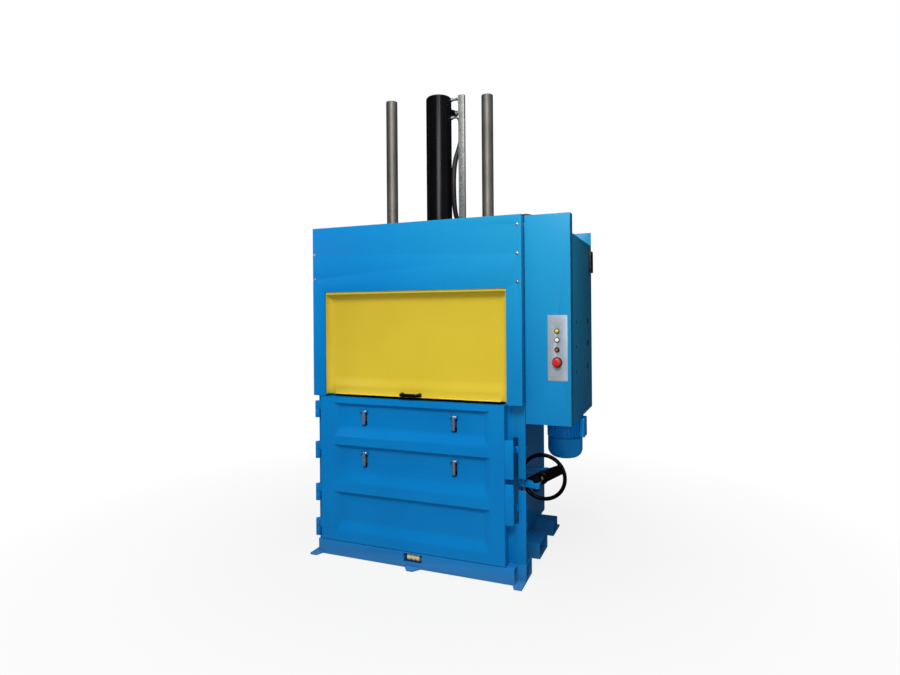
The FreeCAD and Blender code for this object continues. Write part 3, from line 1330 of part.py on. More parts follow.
def cabinet_brackets():
    """Welded tubes that hang the cabinet on the side wall."""
    wall = CHAMBER_HALF + WALL
    inner = HANGER_SIZE - HANGER_WALL
    return [box(wall, cabinet_left(), y, y + HANGER_SIZE, z, z + HANGER_SIZE).cut(
                box(wall, cabinet_left(), y + HANGER_WALL, y + inner, z + HANGER_WALL, z + inner))
            for y in (FRONT + 160, FRONT + 600) for z in HANGER_LEVELS]


def vent_hood():
    """Louvred hood on the cabinet's side."""
    hood = box(CAB_RIGHT, CAB_RIGHT + VENT_OUT, FRONT + VENT_FRONT, FRONT + VENT_BACK,
               VENT_BOTTOM, VENT_TOP)
    pitch = (VENT_TOP - VENT_BOTTOM - 24) / VENT_SLATS
    cuts = []
    for index in range(VENT_SLATS):
        z = VENT_BOTTOM + 12 + index * pitch
        cuts.append(box(CAB_RIGHT + 4, CAB_RIGHT + VENT_OUT + 1, FRONT + VENT_FRONT + 8,
                        FRONT + VENT_BACK - 8, z + 4, z + pitch - 6))
    return hood.cut(Part.makeCompound(cuts))


def side_plugs():
    """Blind plugs in the cabinet's side."""
    return [rod(vec(CAB_RIGHT, FRONT + PLUG_Y, z), X, PLUG_R, 3.0) for z in PLUG_LEVELS]


def control_plate():
    """Screwed plate behind the controls."""
    plate = round_edges(box(PANEL_LEFT, PANEL_RIGHT, FRONT - PANEL_THICK, FRONT, PANEL_BOTTOM,
                            PANEL_TOP), PANEL_CORNER, Y)
    return plate.cut(control_holes())


def plate_face():
    return FRONT - PANEL_THICK


def plate_screws():
    """Small pan heads in the corners of the control plate."""
    inset = 9.0
    return [rod(vec(x, plate_face() - 1.6, z), Y, 3.2, 1.6)
            for x in (PANEL_LEFT + inset, PANEL_RIGHT - inset)
            for z in (PANEL_BOTTOM + inset, PANEL_TOP - inset)]


def control_bezels():
    """Rings round the lamp, the start button and the selector, and the wide stop collar."""
    rings = [tube(vec(CONTROL_X, plate_face() - BEZEL, z), Y, BEZEL_R, BUTTON_R + 0.4, BEZEL)
             for z in (LAMP_Z, START_Z, SELECTOR_Z)]
    rings.append(tube(vec(CONTROL_X, plate_face() - BEZEL, STOP_Z), Y, STOP_RING_R,
                      STOP_STEM_R + 0.4, BEZEL))
    return rings


def stem(z, front):
    """Round stem from a control's cap through the plate into the cabinet."""
    return rod(vec(CONTROL_X, front, z), Y, STEM_R, FRONT + 16 - front)


def indicator_lamp():
    """Domed lens on its stem."""
    face = plate_face() - BEZEL
    lens = revolve([(0, -BEZEL), (BUTTON_R, -BEZEL)] + shoulder(BUTTON_R, 7.0, 6.0, 1)
                   + [(0, 7.0)], vec(CONTROL_X, face, LAMP_Z), X, Y * -1.0)
    return fuse([lens, stem(LAMP_Z, plate_face() - 1)])


def start_button():
    face = plate_face() - BUTTON_TRAVEL - 0.5
    cap = rod(vec(CONTROL_X, face - 5, START_Z), Y, BUTTON_R, 5)
    return fuse([cap, stem(START_Z, face - 1)])


def selector():
    """Turning knob with a grip bar."""
    face = plate_face() - 0.5
    disc = rod(vec(CONTROL_X, face - 9, SELECTOR_Z), Y, BUTTON_R, 9)
    bar = box(CONTROL_X - 3.5, CONTROL_X + 3.5, face - 18, face - 9, SELECTOR_Z - 10.5,
              SELECTOR_Z + 10.5)
    return fuse([disc, bar, stem(SELECTOR_Z, face - 1)])


def stop_button():
    """Mushroom head on a thick neck."""
    face = plate_face() - BUTTON_TRAVEL - 0.5
    outline = [(0, 0), (STOP_STEM_R, 0), (STOP_STEM_R, 9), (STOP_HEAD_R, 12), (STOP_HEAD_R, 19),
               (STOP_HEAD_R - 4, 24), (0, 26)]
    head = revolve(outline, vec(CONTROL_X, face, STOP_Z), X, Y * -1.0)
    return fuse([head, stem(STOP_Z, face - 1)])


# ---------------------------------------------------------------- drive
def motor_point(z):
    return vec(MOTOR_X, MOTOR_Y, z)


def motor_body():
    """Finned stator with its flange under the cabinet floor."""
    core = rod(motor_point(STATOR_BOTTOM), Z, MOTOR_R, CAB_BOTTOM - STATOR_BOTTOM)
    pieces = [core, rod(motor_point(CAB_BOTTOM - MOTOR_FLANGE), Z, MOTOR_FLANGE_R, MOTOR_FLANGE)]
    for index in range(FINS):
        fin = box(MOTOR_X + MOTOR_R - 4, MOTOR_X + FIN_R, MOTOR_Y - FIN_THICK / 2,
                  MOTOR_Y + FIN_THICK / 2, STATOR_BOTTOM + 6, CAB_BOTTOM - MOTOR_FLANGE)
        fin.rotate(motor_point(0), Z, 360.0 * (index + 0.5) / FINS)
        pieces.append(fin)
    whole = fuse(pieces)
    return whole.cut(rod(motor_point(STATOR_BOTTOM - 1), Z, MOTOR_SHAFT_R + RUN_FIT, MOTOR_BORE))


def fan_cover():
    """Round fan cover with a curved end and inlet slots."""
    outer = revolve([(0, STATOR_BOTTOM), (FAN_COVER_R, STATOR_BOTTOM)]
                    + shoulder(FAN_COVER_R, FAN_COVER_BOTTOM, FAN_COVER_ROUND, -1)
                    + [(0, FAN_COVER_BOTTOM)], motor_point(0), X, Z)
    inner_r = FAN_COVER_R - FAN_COVER_SHEET
    floor = FAN_COVER_BOTTOM + FAN_COVER_SHEET
    inner = revolve([(0, STATOR_BOTTOM + 1), (inner_r, STATOR_BOTTOM + 1)]
                    + shoulder(inner_r, floor, FAN_COVER_ROUND - FAN_COVER_SHEET, -1)
                    + [(0, floor)], motor_point(0), X, Z)
    slots = []
    for index in range(12):
        slot = box(MOTOR_X + FAN_SLOT_START, MOTOR_X + FAN_SLOT_END, MOTOR_Y - 4, MOTOR_Y + 4,
                   FAN_COVER_BOTTOM - 1, FAN_COVER_BOTTOM + FAN_COVER_SHEET + 1)
        slot.rotate(motor_point(0), Z, 30.0 * index)
        slots.append(slot)
    return outer.cut(inner).cut(Part.makeCompound(slots))


def motor_rotor():
    """Motor shaft with the cooling fan below and the coupling half above."""
    pieces = [rod(motor_point(662), Z, MOTOR_SHAFT_R, 340), rod(motor_point(664), Z, 24, 46),
              rod(motor_point(962), Z, 38, 40)]
    for index in range(FAN_BLADES):
        blade = box(MOTOR_X, MOTOR_X + FAN_R, MOTOR_Y - 1.5, MOTOR_Y + 1.5, 676, 716)
        blade.rotate(motor_point(0), Z, 360.0 * index / FAN_BLADES)
        pieces.append(blade)
    return fuse(pieces).removeSplitter()


def bell_housing():
    """Bell between the cabinet floor and the pump."""
    z0 = CAB_BOTTOM + CAB_SHEET
    shell = tube(motor_point(z0), Z, BELL_R, BELL_R - 10, BELL_HEIGHT - 10)
    lid = rod(motor_point(z0 + BELL_HEIGHT - 10), Z, BELL_R, 10)
    return fuse([shell, lid])


def pump():
    """Gear pump on the bell."""
    z0 = CAB_BOTTOM + CAB_SHEET + BELL_HEIGHT
    return fuse([rod(motor_point(z0), Z, PUMP_R + 12, 16), rod(motor_point(z0), Z, PUMP_R, PUMP_HEIGHT)])


def limits_box(limits):
    return box(*limits)


def terminal_box():
    """Motor terminal box on the outer side of the fins."""
    block = round_edges(limits_box(TERMINAL), 5.0, Z)
    return block.cut(rod(motor_point(TERMINAL[4] - 1), Z, FIN_R + 0.5, TERMINAL[5] - TERMINAL[4] + 2))


# ---------------------------------------------------------------- output
def oil_tank():
    return limits_box(TANK)


def valve_block():
    return limits_box(VALVE)


def nodes():
    """Every sub-part by name, with the solids it is made of."""
    rear_plate, posts = rear_wall()
    frame_side, door_side = hinge_halves()
    listed = {
        "base_beams": base_beams(),
        "anchor_lugs": anchor_lugs(),
        "front_sill": [front_sill()],
        "chain_roller": [chain_roller()],
        "roller_pin": [roller_pin()],
        "chamber_plates": [floor_plate(), side_wall(), mirror_x(side_wall()), rear_plate],
        "front_flanges": [lock_flange(), mirror_x(front_flange())],
        "rear_posts": posts,
        "crosshead": [crosshead()],
        "guide_bushes": guide_bushes(),
        "cylinder_barrel": [cylinder_barrel()],
        "cylinder_gland": [cylinder_gland()],
        "flange_bolts": flange_bolts(),
        "piston_rod": [piston_rod(), piston()],
        "guide_columns": guide_columns(),
        "platen": [platen()],
        "hose_rail": [hose_rail()],
        "rail_studs": rail_studs(),
        "hoses": hoses(),
        "hose_fittings": hose_fittings(),
        "front_cover": [front_cover()],
        "cover_screws": cover_screws(),
        "guard_rails": guard_rails(),
        "guard_panel": [guard_panel()],
        "guard_shoes": guard_shoes(),
        "guard_handle": [guard_handle()],
        "door_shell": [door_shell()],
        "dog_lugs": dog_lugs(),
        "dog_pins": dog_pins() + [dog_spring(x, level) for x, level in dog_places()],
        "lock_plates": lock_plates(),
        "frame_hinges": frame_side,
        "door_hinges": door_side,
        "hinge_pins": hinge_pins() + hinge_washers(),
        "lock_bearings": lock_bearings(),
        "lock_shaft": [lock_shaft()],
        "lock_claws": lock_claws(),
        "lock_arm": [lock_arm()],
        "lock_clevis": [lock_clevis(), clevis_keeper(), clevis_pin()],
        "spindle": [spindle()],
        "spindle_bracket": [spindle_bracket()],
        "handwheel": [handwheel()],
        "cabinet_front": [cabinet_front()],
        "cabinet_box": [cabinet_box(), cabinet_rear()],
        "cabinet_brackets": cabinet_brackets(),
        "cabinet_fittings": [vent_hood()] + side_plugs(),
        "control_plate": [control_plate()] + plate_screws(),
        "control_bezels": control_bezels(),
        "indicator_lamp": [indicator_lamp()],
        "start_button": [start_button()],
        "selector": [selector()],
        "stop_button": [stop_button()],
        "motor_body": [motor_body()],
        "fan_cover": [fan_cover()],
        "motor_rotor": [motor_rotor()],
        "terminal_box": [terminal_box()],
        "power_pack": [bell_housing(), pump(), oil_tank(), valve_block()],
    }
    for number, (x, level) in enumerate(dog_places(), 1):
        listed["dog_%d" % number] = [retaining_dog(x, level)]
    return listed


def main():
    os.makedirs("parts", exist_ok=True)
    for node, shapes in nodes().items():
        save(node, shapes)


main()
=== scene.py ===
"""Recycling baler: the dressed model around the fixed frame of solids."""
import logging
import math
from contextlib import contextmanager
from dataclasses import dataclass
from enum import Enum
from typing import Callable, Iterator, Optional, Sequence

import bpy
from mathutils import Matrix, Vector


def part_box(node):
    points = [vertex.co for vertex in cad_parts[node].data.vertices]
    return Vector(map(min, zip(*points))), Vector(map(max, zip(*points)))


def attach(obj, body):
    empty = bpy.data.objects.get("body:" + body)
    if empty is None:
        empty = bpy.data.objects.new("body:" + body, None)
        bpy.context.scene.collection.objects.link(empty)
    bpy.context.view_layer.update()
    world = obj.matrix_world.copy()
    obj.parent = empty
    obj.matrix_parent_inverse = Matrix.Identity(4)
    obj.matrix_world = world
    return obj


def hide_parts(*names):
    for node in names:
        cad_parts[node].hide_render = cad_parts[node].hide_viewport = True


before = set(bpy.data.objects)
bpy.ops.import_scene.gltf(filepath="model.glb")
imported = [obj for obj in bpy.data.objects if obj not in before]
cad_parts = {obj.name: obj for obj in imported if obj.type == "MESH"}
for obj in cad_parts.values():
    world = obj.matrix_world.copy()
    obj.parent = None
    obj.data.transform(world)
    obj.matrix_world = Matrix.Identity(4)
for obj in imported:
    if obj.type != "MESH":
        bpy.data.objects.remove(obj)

logging.basicConfig(level=logging.INFO, format="%(message)s")
LOG = logging.getLogger("baler")

Point = Sequence[float]
Rings = Sequence[tuple[float, float]]       # radius and height of each ring, in metres

MM = 0.001
FRONT = -0.428                  # front face of the flanges
RING_JOIN = 1e-6                # points of a new mesh nearer than this become one
SOLID_JOIN = 2e-6               # the same in the copy of a solid
SAME_PLANE = 0.4                # facets that differ by fewer degrees become one face
SHARP = 32.0                    # edges sharper than this many degrees are rounded
SHARP_ON_ROUND = 40.0           # the same on round pieces, whose facets stay as they are
SMOOTH = 38.0                   # edges flatter than this many degrees are shaded smooth
FACING = 0.9                    # share of a face's normal that makes it face along an axis
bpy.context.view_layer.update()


# ------------------------------------------------------------------ colours and nodes
def linear(code: str) -> tuple[float, float, float, float]:
    """Turns an sRGB hex value into linear light.

    Args:
        code: six hex digits, with or without a leading #.

    Returns:
        Red, green, blue and an alpha of one.
    """
    digits = code.lstrip("#")
    levels = [int(digits[i:i + 2], 16) / 255.0 for i in (0, 2, 4)]
    lit = [v / 12.92 if v <= 0.04045 else ((v + 0.055) / 1.055) ** 2.4 for v in levels]
    return (lit[0], lit[1], lit[2], 1.0)


def add_node(tree: bpy.types.NodeTree, kind: str, settings: Optional[dict] = None,
             links: Optional[dict] = None) -> bpy.types.Node:
    """Adds one shader node with its settings and its links.

    Args:
        tree: the material's or the world's node tree.
        kind: the node's type.
        settings: values by property name, or by input name or number.
        links: output sockets by input name or number.

    Returns:
        The new node.
    """
    made = tree.nodes.new(kind)
    for key, value in (settings or {}).items():
        if isinstance(key, str) and hasattr(made, key):
            setattr(made, key, value)
        else:
            made.inputs[key].default_value = value
    for key, socket in (links or {}).items():
        tree.links.new(socket, made.inputs[key])
    return made


def fresh_tree(owner: bpy.types.Material | bpy.types.World) -> bpy.types.NodeTree:
    """Empties the node tree of a material or a world.

    Args:
        owner: the material or the world.

    Returns:
        Its node tree, without nodes.
    """
    owner.use_nodes = True
    owner.node_tree.nodes.clear()
    return owner.node_tree


class Grain(Enum):
    """How a finish runs over the surface: its scale to the right, to the back and upwards."""

    EVEN = (1.0, 1.0, 1.0)
    DRAWN_ACROSS = (0.03, 1.0, 1.0)
    DRAWN_BACK = (1.0, 0.03, 1.0)


PATCH_SPAN = (0.3, 0.7)         # levels of the coarse pattern that take the two colours
GRIT_SPAN = (0.25, 0.75)        # levels of the fine pattern that take the two roughnesses
PAINTED_LIGHT_WAY = (0.75, 0.0, 0.7)     # towards the upper right, where the lamps fall: the way of the painted light
PAINTED_LIGHT_SPAN = (0.75, 2.1)     # metres along that way, from no painted light to the most
MOST_PAINTED_LIGHT = 0.9                # share of the pale painted light where it is strongest
CRYSTAL = "#DFE3E4"             # colour of the brightest crystals of zinc
MOST_CRYSTAL = 0.3              # its share in them
FLOOR_DUST = "#9A9384"


@dataclass(frozen=True)
class Finish:
    """One finish: its colours, its gloss, the texture that its making leaves and, on some,
    painted light.
    """

    name: str
    colour: str
    shade: str                      # what the colour goes over to from patch to patch
    slot: str
    metallic: float = 0.0
    roughness: float = 0.5
    rough_spread: float = 0.08      # how far the grain takes the roughness up and down
    ior_level: float = 0.5
    coat: float = 0.0
    coat_roughness: float = 0.1
    patch_mm: float = 400.0         # width of the patches
    grit_mm: float = 3.0            # width of the grain
    bump_mm: float = 0.05           # height of the grain
    grain: Grain = Grain.EVEN
    dust: float = 0.0               # share of dust at the floor
    dust_top: float = 0.25          # metres above the floor where the dust ends
    spangle_mm: float = 0.0         # width of the crystals on zinc
    painted_light: str = ""                 # pale colour of the painted light towards the upper right

    def material(self) -> bpy.types.Material:
        """The finish as a node material, made once and then shared."""
        known = bpy.data.materials.get(self.name)
        return known if known else self.build()

    def build(self) -> bpy.types.Material:
        """Builds the node tree: colour, painted light, crystals, dust, gloss and bump.

        Returns:
            The new material.
        """
        made = bpy.data.materials.new(self.name)
        tree = fresh_tree(made)
        place = add_node(tree, "ShaderNodeTexCoord").outputs["Object"]
        drawn = add_node(tree, "ShaderNodeMapping", {"Scale": self.grain.value},
                         {"Vector": place})
        patches = add_node(tree, "ShaderNodeTexNoise",
                           {"Scale": 1.0 / (self.patch_mm * MM), "Detail": 2.0},
                           {"Vector": place})
        grit = add_node(tree, "ShaderNodeTexNoise",
                        {"Scale": 1.0 / (self.grit_mm * MM), "Detail": 3.0, "Roughness": 0.6},
                        {"Vector": drawn.outputs["Vector"]}).outputs["Fac"]
        spread = add_node(tree, "ShaderNodeMapRange",
                          {"From Min": PATCH_SPAN[0], "From Max": PATCH_SPAN[1]},
                          {"Value": patches.outputs["Fac"]})
        colour = add_node(tree, "ShaderNodeMix",
                          {"data_type": "RGBA", 6: linear(self.shade), 7: linear(self.colour)},
                          {0: spread.outputs["Result"]}).outputs[2]
        # painted light: the colour goes paler towards the upper right
        if self.painted_light:
            colour = self.painted_light_over(tree, place, colour)
        if self.spangle_mm:
            colour = self.spangled(tree, place, colour)
        if self.dust:
            colour = self.dusted(tree, place, grit, colour)
        rough = add_node(tree, "ShaderNodeMapRange",
                         {"From Min": GRIT_SPAN[0], "From Max": GRIT_SPAN[1],
                          "To Min": self.roughness - self.rough_spread,
                          "To Max": self.roughness + self.rough_spread}, {"Value": grit})
        bump = add_node(tree, "ShaderNodeBump",
                        {"Strength": 1.0, "Distance": self.bump_mm * MM}, {"Height": grit})
        shader = add_node(tree, "ShaderNodeBsdfPrincipled",
                          {"Metallic": self.metallic, "Specular IOR Level": self.ior_level,
                           "Coat Weight": self.coat, "Coat Roughness": self.coat_roughness},
                          {"Base Color": colour, "Roughness": rough.outputs["Result"],
                           "Normal": bump.outputs["Normal"]})
        add_node(tree, "ShaderNodeOutputMaterial", None, {"Surface": shader.outputs["BSDF"]})
        return made

    def painted_light_over(self, tree: bpy.types.NodeTree, place: bpy.types.NodeSocket,
                colour: bpy.types.NodeSocket) -> bpy.types.NodeSocket:
        """Paints light onto the colour: paler towards the upper right, where the lamps fall.

        Args:
            tree: the material's node tree.
            place: the place on the object.
            colour: the colour below.

        Returns:
            The colour with its painted light, paler at the upper right.
        """
        lean = add_node(tree, "ShaderNodeVectorMath",
                        {"operation": "DOT_PRODUCT", 1: PAINTED_LIGHT_WAY}, {0: place})
        share = add_node(tree, "ShaderNodeMapRange",
                         {"interpolation_type": "SMOOTHSTEP", "From Min": PAINTED_LIGHT_SPAN[0],
                          "From Max": PAINTED_LIGHT_SPAN[1], "To Max": MOST_PAINTED_LIGHT},
                         {"Value": lean.outputs["Value"]})
        return add_node(tree, "ShaderNodeMix", {"data_type": "RGBA", 7: linear(self.painted_light)},
                        {0: share.outputs["Result"], 6: colour}).outputs[2]

    def spangled(self, tree: bpy.types.NodeTree, place: bpy.types.NodeSocket,
                 colour: bpy.types.NodeSocket) -> bpy.types.NodeSocket:
        """Lays the crystal pattern of hot-dip zinc over the colour.

        Args:
            tree: the material's node tree.
            place: the place on the object.
            colour: the colour below.

        Returns:
            The colour with the crystals.
        """
        cells = add_node(tree, "ShaderNodeTexVoronoi", {"Scale": 1.0 / (self.spangle_mm * MM)},
                         {"Vector": place})
        tone = add_node(tree, "ShaderNodeMapRange", {"To Min": 0.0, "To Max": MOST_CRYSTAL},
                        {"Value": cells.outputs["Color"]})
        return add_node(tree, "ShaderNodeMix", {"data_type": "RGBA", 7: linear(CRYSTAL)},
                        {0: tone.outputs["Result"], 6: colour}).outputs[2]

    def dusted(self, tree: bpy.types.NodeTree, place: bpy.types.NodeSocket,
               grit: bpy.types.NodeSocket, colour: bpy.types.NodeSocket) -> bpy.types.NodeSocket:
        """Adds the pale dust that gathers near the floor.

        Args:
            tree: the material's node tree.
            place: the place on the object.
            grit: the fine pattern that breaks the dust up.
            colour: the colour below.

        Returns:
            The colour with dust.
        """
        parts = add_node(tree, "ShaderNodeSeparateXYZ", None, {"Vector": place})
        fade = add_node(tree, "ShaderNodeMapRange",
                        {"From Min": 0.0, "From Max": self.dust_top,
                         "To Min": self.dust, "To Max": 0.0}, {"Value": parts.outputs["Z"]})
        broken = add_node(tree, "ShaderNodeMath", {"operation": "MULTIPLY"},
                          {0: fade.outputs["Result"], 1: grit})
        return add_node(tree, "ShaderNodeMix", {"data_type": "RGBA", 7: linear(FLOOR_DUST)},
                        {0: broken.outputs["Value"], 6: colour}).outputs[2]


# The ripple of paint, the crystals of zinc and the cloth mark on the hose are as wide as real
# ones. The marks of grinding, turning and brushing and the grain of plating are too fine to
# show in the render, so they are drawn one to two millimetres wide, and those of forging a
# little wider.

# Polyester powder coat on steel sheet: an even blue with the faint ripple of orange peel, a
# little paler or deeper from patch to patch, dusty near the floor, and with painted light that
# makes the upper right paler.
BLUE = Finish("polyester powder coat, sky blue", "#047DC4", "#0376BC", "blue_paint",
              roughness=0.28, ior_level=0.13, grit_mm=3.2, bump_mm=0.035, patch_mm=520.0,
              dust=0.25, dust_top=0.12, painted_light="#2090BE")
# The same coat on the moving guard, in safety yellow, smoother because the sheet is smooth.
YELLOW = Finish("polyester powder coat, traffic yellow", "#D9BF37", "#D2B831", "yellow_paint",
                roughness=0.27, rough_spread=0.04, ior_level=0.4, grit_mm=3.0, bump_mm=0.025,
                patch_mm=450.0)
# Brushed enamel on the bought motor: thicker, with a wider ripple, and painted a shade brighter
# than the machine's own coat as painted light, for the light that the cabinet above keeps off it.
PAINTED_LIGHT_ENAMEL = Finish("air-drying enamel, blue, painted lighter", "#0694EA", "#058CDE", "blue_paint", roughness=0.3,
                ior_level=0.2, grit_mm=6.0, bump_mm=0.05, patch_mm=120.0, dust=0.2,
                dust_top=0.12)
# Baked black enamel on round steel and on the cylinder: deep, with a narrow shine.
BLACK = Finish("baked enamel, black", "#0A090C", "#070709", "black_paint", roughness=0.24,
               rough_spread=0.05, ior_level=0.09, grit_mm=4.0, bump_mm=0.02, patch_mm=200.0)
# Turned and ground shaft steel under a film of oil: mid grey and half dull, with fine marks
# that run round the shaft.
GROUND = Finish("ground shaft steel", "#6C6963", "#5F5D58", "ground_steel", metallic=0.85,
                roughness=0.55, rough_spread=0.08, grit_mm=1.6, bump_mm=0.012, patch_mm=160.0,
                grain=Grain.DRAWN_ACROSS)
# Electroplated zinc on small fittings: cool, bright and slightly cloudy.
ZINC = Finish("electroplated zinc", "#C9CCCC", "#AEB3B4", "zinc_steel", metallic=1.0,
              roughness=0.32, rough_spread=0.1, grit_mm=2.0, bump_mm=0.01, patch_mm=30.0)
# Oiled forged steel on the dogs: cool grey, half bright, darker where oil has dried.
FORGED = Finish("oiled forged steel", "#C2CEDC", "#9FACBD", "zinc_steel", metallic=0.8,
                roughness=0.34, rough_spread=0.1, grit_mm=2.5, bump_mm=0.02, patch_mm=14.0)
# Hot-dip galvanised channel: grey with crystals some ten millimetres wide.
GALVANISED = Finish("hot-dip galvanised steel", "#6E706A", "#62645F", "galvanised_steel",
                    metallic=0.5, roughness=0.46, spangle_mm=9.0, grit_mm=4.0, bump_mm=0.01,
                    patch_mm=90.0)
# Cast tin bronze, machined: warm and a little dull.
BRONZE = Finish("machined tin bronze", "#B9905A", "#A67F4C", "bronze", metallic=1.0,
                roughness=0.38, grit_mm=1.5, bump_mm=0.01, patch_mm=60.0)
# Synthetic rubber hose cover: black, matt, with the fine cloth mark of its wrapping.
RUBBER = Finish("wrapped rubber hose cover", "#17171A", "#101012", "hose_rubber",
                roughness=0.55, ior_level=0.35, grit_mm=1.2, bump_mm=0.06, patch_mm=120.0)
# Turned cast nylon, aged to cream: a soft shine over faint turning marks.
NYLON = Finish("turned cast nylon, cream", "#E3D6A6", "#D8C992", "nylon", roughness=0.45,
               grit_mm=1.0, bump_mm=0.02, patch_mm=40.0, grain=Grain.DRAWN_BACK)
# Moulded black plastic with a light leather-like grain.
PLASTIC = Finish("moulded glass-filled nylon, black", "#1B1C1F", "#141518", "black_plastic",
                 roughness=0.48, ior_level=0.4, grit_mm=0.9, bump_mm=0.03, patch_mm=80.0)
# Anodised plate behind the controls: light grey with a silky shine.
GREY = Finish("anodised aluminium plate, light grey", "#AEBAC4", "#A0ACB8", "grey_paint",
              metallic=0.25, roughness=0.36, grit_mm=1.0, bump_mm=0.01, patch_mm=70.0)
# Structure paint on the parts that nobody sees: dark and dull.
DARK = Finish("machine enamel, slate", "#3C4248", "#343A40", "dark_paint", roughness=0.5,
              grit_mm=3.5, bump_mm=0.03)
# Polycarbonate lens over the supply lamp: one strong yellow with a hard, glossy skin.
LENS = Finish("polycarbonate lens, yellow", "#E8CF3A", "#DDBF25", "yellow_lens",
              roughness=0.16, rough_spread=0.03, coat=0.4, grit_mm=2.0, bump_mm=0.005)
# Polished moulding of the push button's cap: a clean white with a soft shine.
WHITE = Finish("moulded polyamide, white", "#EDEEEA", "#E2E4E0", "white_plastic",
               roughness=0.3, grit_mm=2.0, bump_mm=0.006)
# The same moulding in amber, for the pointer that stands out on the black knob.
AMBER = Finish("moulded polyamide, amber", "#D8783A", "#C96A2E", "red_plastic",
               roughness=0.32, grit_mm=2.0, bump_mm=0.006)
# The same moulding in signal red, for the stop button.
RED = Finish("moulded polyamide, signal red", "#D3232C", "#C21C26", "red_plastic",
             roughness=0.3, grit_mm=2.0, bump_mm=0.006)

# The finish of each slot. The motor's enamel, brightened as painted light, forged steel and amber
# share a slot with another finish, and only new pieces wear them.
FINISHES = {made.slot: made for made in (BLUE, YELLOW, BLACK, GROUND, ZINC, GALVANISED, BRONZE,
                                         RUBBER, NYLON, PLASTIC, GREY, DARK, LENS, WHITE, RED)}


def dress_nodes() -> None:
    """Gives every solid the finish of its slot."""
    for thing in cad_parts.values():
        slots = thing.material_slots
        finish = FINISHES.get(slots[0].material.name.split(".")[0]) if slots else None
        if finish:
            for place in slots:
                place.material = finish.material()


# ------------------------------------------------------------------ the bench
def turn_about(axis: str, degrees: float) -> Matrix:
    """A turn by some degrees about one of the three axes."""
    return Matrix.Rotation(math.radians(degrees), 4, axis)


class Axis(Enum):
    """Directions of a piece's height, each with the turn that brings it there from upright."""

    X = ("Y", 90.0)
    Y = ("X", -90.0)
    Z = ("Z", 0.0)

    def at(self, centre: Point) -> Matrix:
        """The place of a piece that was made upright at the origin."""
        return Matrix.Translation(centre) @ turn_about(*self.value)


def clear_selection() -> None:
    """Leaves edit mode and deselects every object."""
    if bpy.context.object and bpy.context.object.mode != "OBJECT":
        bpy.ops.object.mode_set(mode="OBJECT")
    bpy.ops.object.select_all(action="DESELECT")


def pick(thing: bpy.types.Object) -> bpy.types.Object:
    """Selects one object alone and makes it active.

    Args:
        thing: the object.

    Returns:
        The same object.
    """
    clear_selection()
    thing.select_set(True)
    bpy.context.view_layer.objects.active = thing
    return thing


def linked(name: str, data: bpy.types.ID) -> bpy.types.Object:
    """Stands a new object in the scene.

    Args:
        name: the object's name.
        data: its mesh, curve, lamp or camera.

    Returns:
        The new object.
    """
    made = bpy.data.objects.new(name, data)
    bpy.context.scene.collection.objects.link(made)
    return made


def settle(thing: bpy.types.Object) -> bpy.types.Object:
    """Works an object's place, turn and scale into its mesh.

    Args:
        thing: the object.

    Returns:
        The same object.
    """
    pick(thing)
    bpy.ops.object.transform_apply(location=True, rotation=True, scale=True)
    return thing


@contextmanager
def editing(thing: bpy.types.Object) -> Iterator[None]:
    """Keeps an object's mesh open for the tools of edit mode.

    Args:
        thing: the mesh object.

    Yields:
        Nothing, with the mesh open.
    """
    pick(thing)
    bpy.ops.object.mode_set(mode="EDIT")
    yield
    bpy.ops.object.mode_set(mode="OBJECT")


def choose_faces(thing: bpy.types.Object,
                 wanted: Callable[[bpy.types.MeshPolygon], bool]) -> None:
    """Selects faces by their place or normal, for the next work in edit mode.

    Args:
        thing: the mesh object.
        wanted: tells whether a face is meant.
    """
    with editing(thing):
        bpy.ops.mesh.select_mode(type="FACE")
        bpy.ops.mesh.select_all(action="DESELECT")
    for face in thing.data.polygons:
        face.select = bool(wanted(face))


def block(low: Point, high: Point) -> bpy.types.Object:
    """A rectangular lump.

    Args:
        low: its corner with the lowest coordinates, in metres.
        high: its corner with the highest ones.

    Returns:
        The lump.
    """
    clear_selection()
    bpy.ops.mesh.primitive_cube_add(size=1.0, location=[(a + b) / 2 for a, b in zip(low, high)])
    lump = bpy.context.active_object
    lump.scale = [b - a for a, b in zip(low, high)]
    return settle(lump)


def middle_of(node: str) -> tuple[float, float, float]:
    """The middle of a solid's box."""
    return tuple((low + high) / 2 for low, high in zip(*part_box(node)))


def domed(rings: Rings, crown: float, rise: float, parts: int = 8,
          last: int = 7) -> list[tuple[float, float]]:
    """Goes on from an outline's last ring with a quarter round.

    Args:
        rings: radius and height of each ring so far.
        crown: the radius at which the quarter ends.
        rise: the way up to there, below zero where the crown is lower.
        parts: how many turns the whole quarter has.
        last: the last of them that is drawn.

    Returns:
        All rings.
    """
    rim, level = rings[-1]
    turns = [math.pi / 2 * step / parts for step in range(1, last + 1)]
    return [*rings, *((crown + (rim - crown) * math.cos(turn), level + rise * math.sin(turn))
                      for turn in turns)]


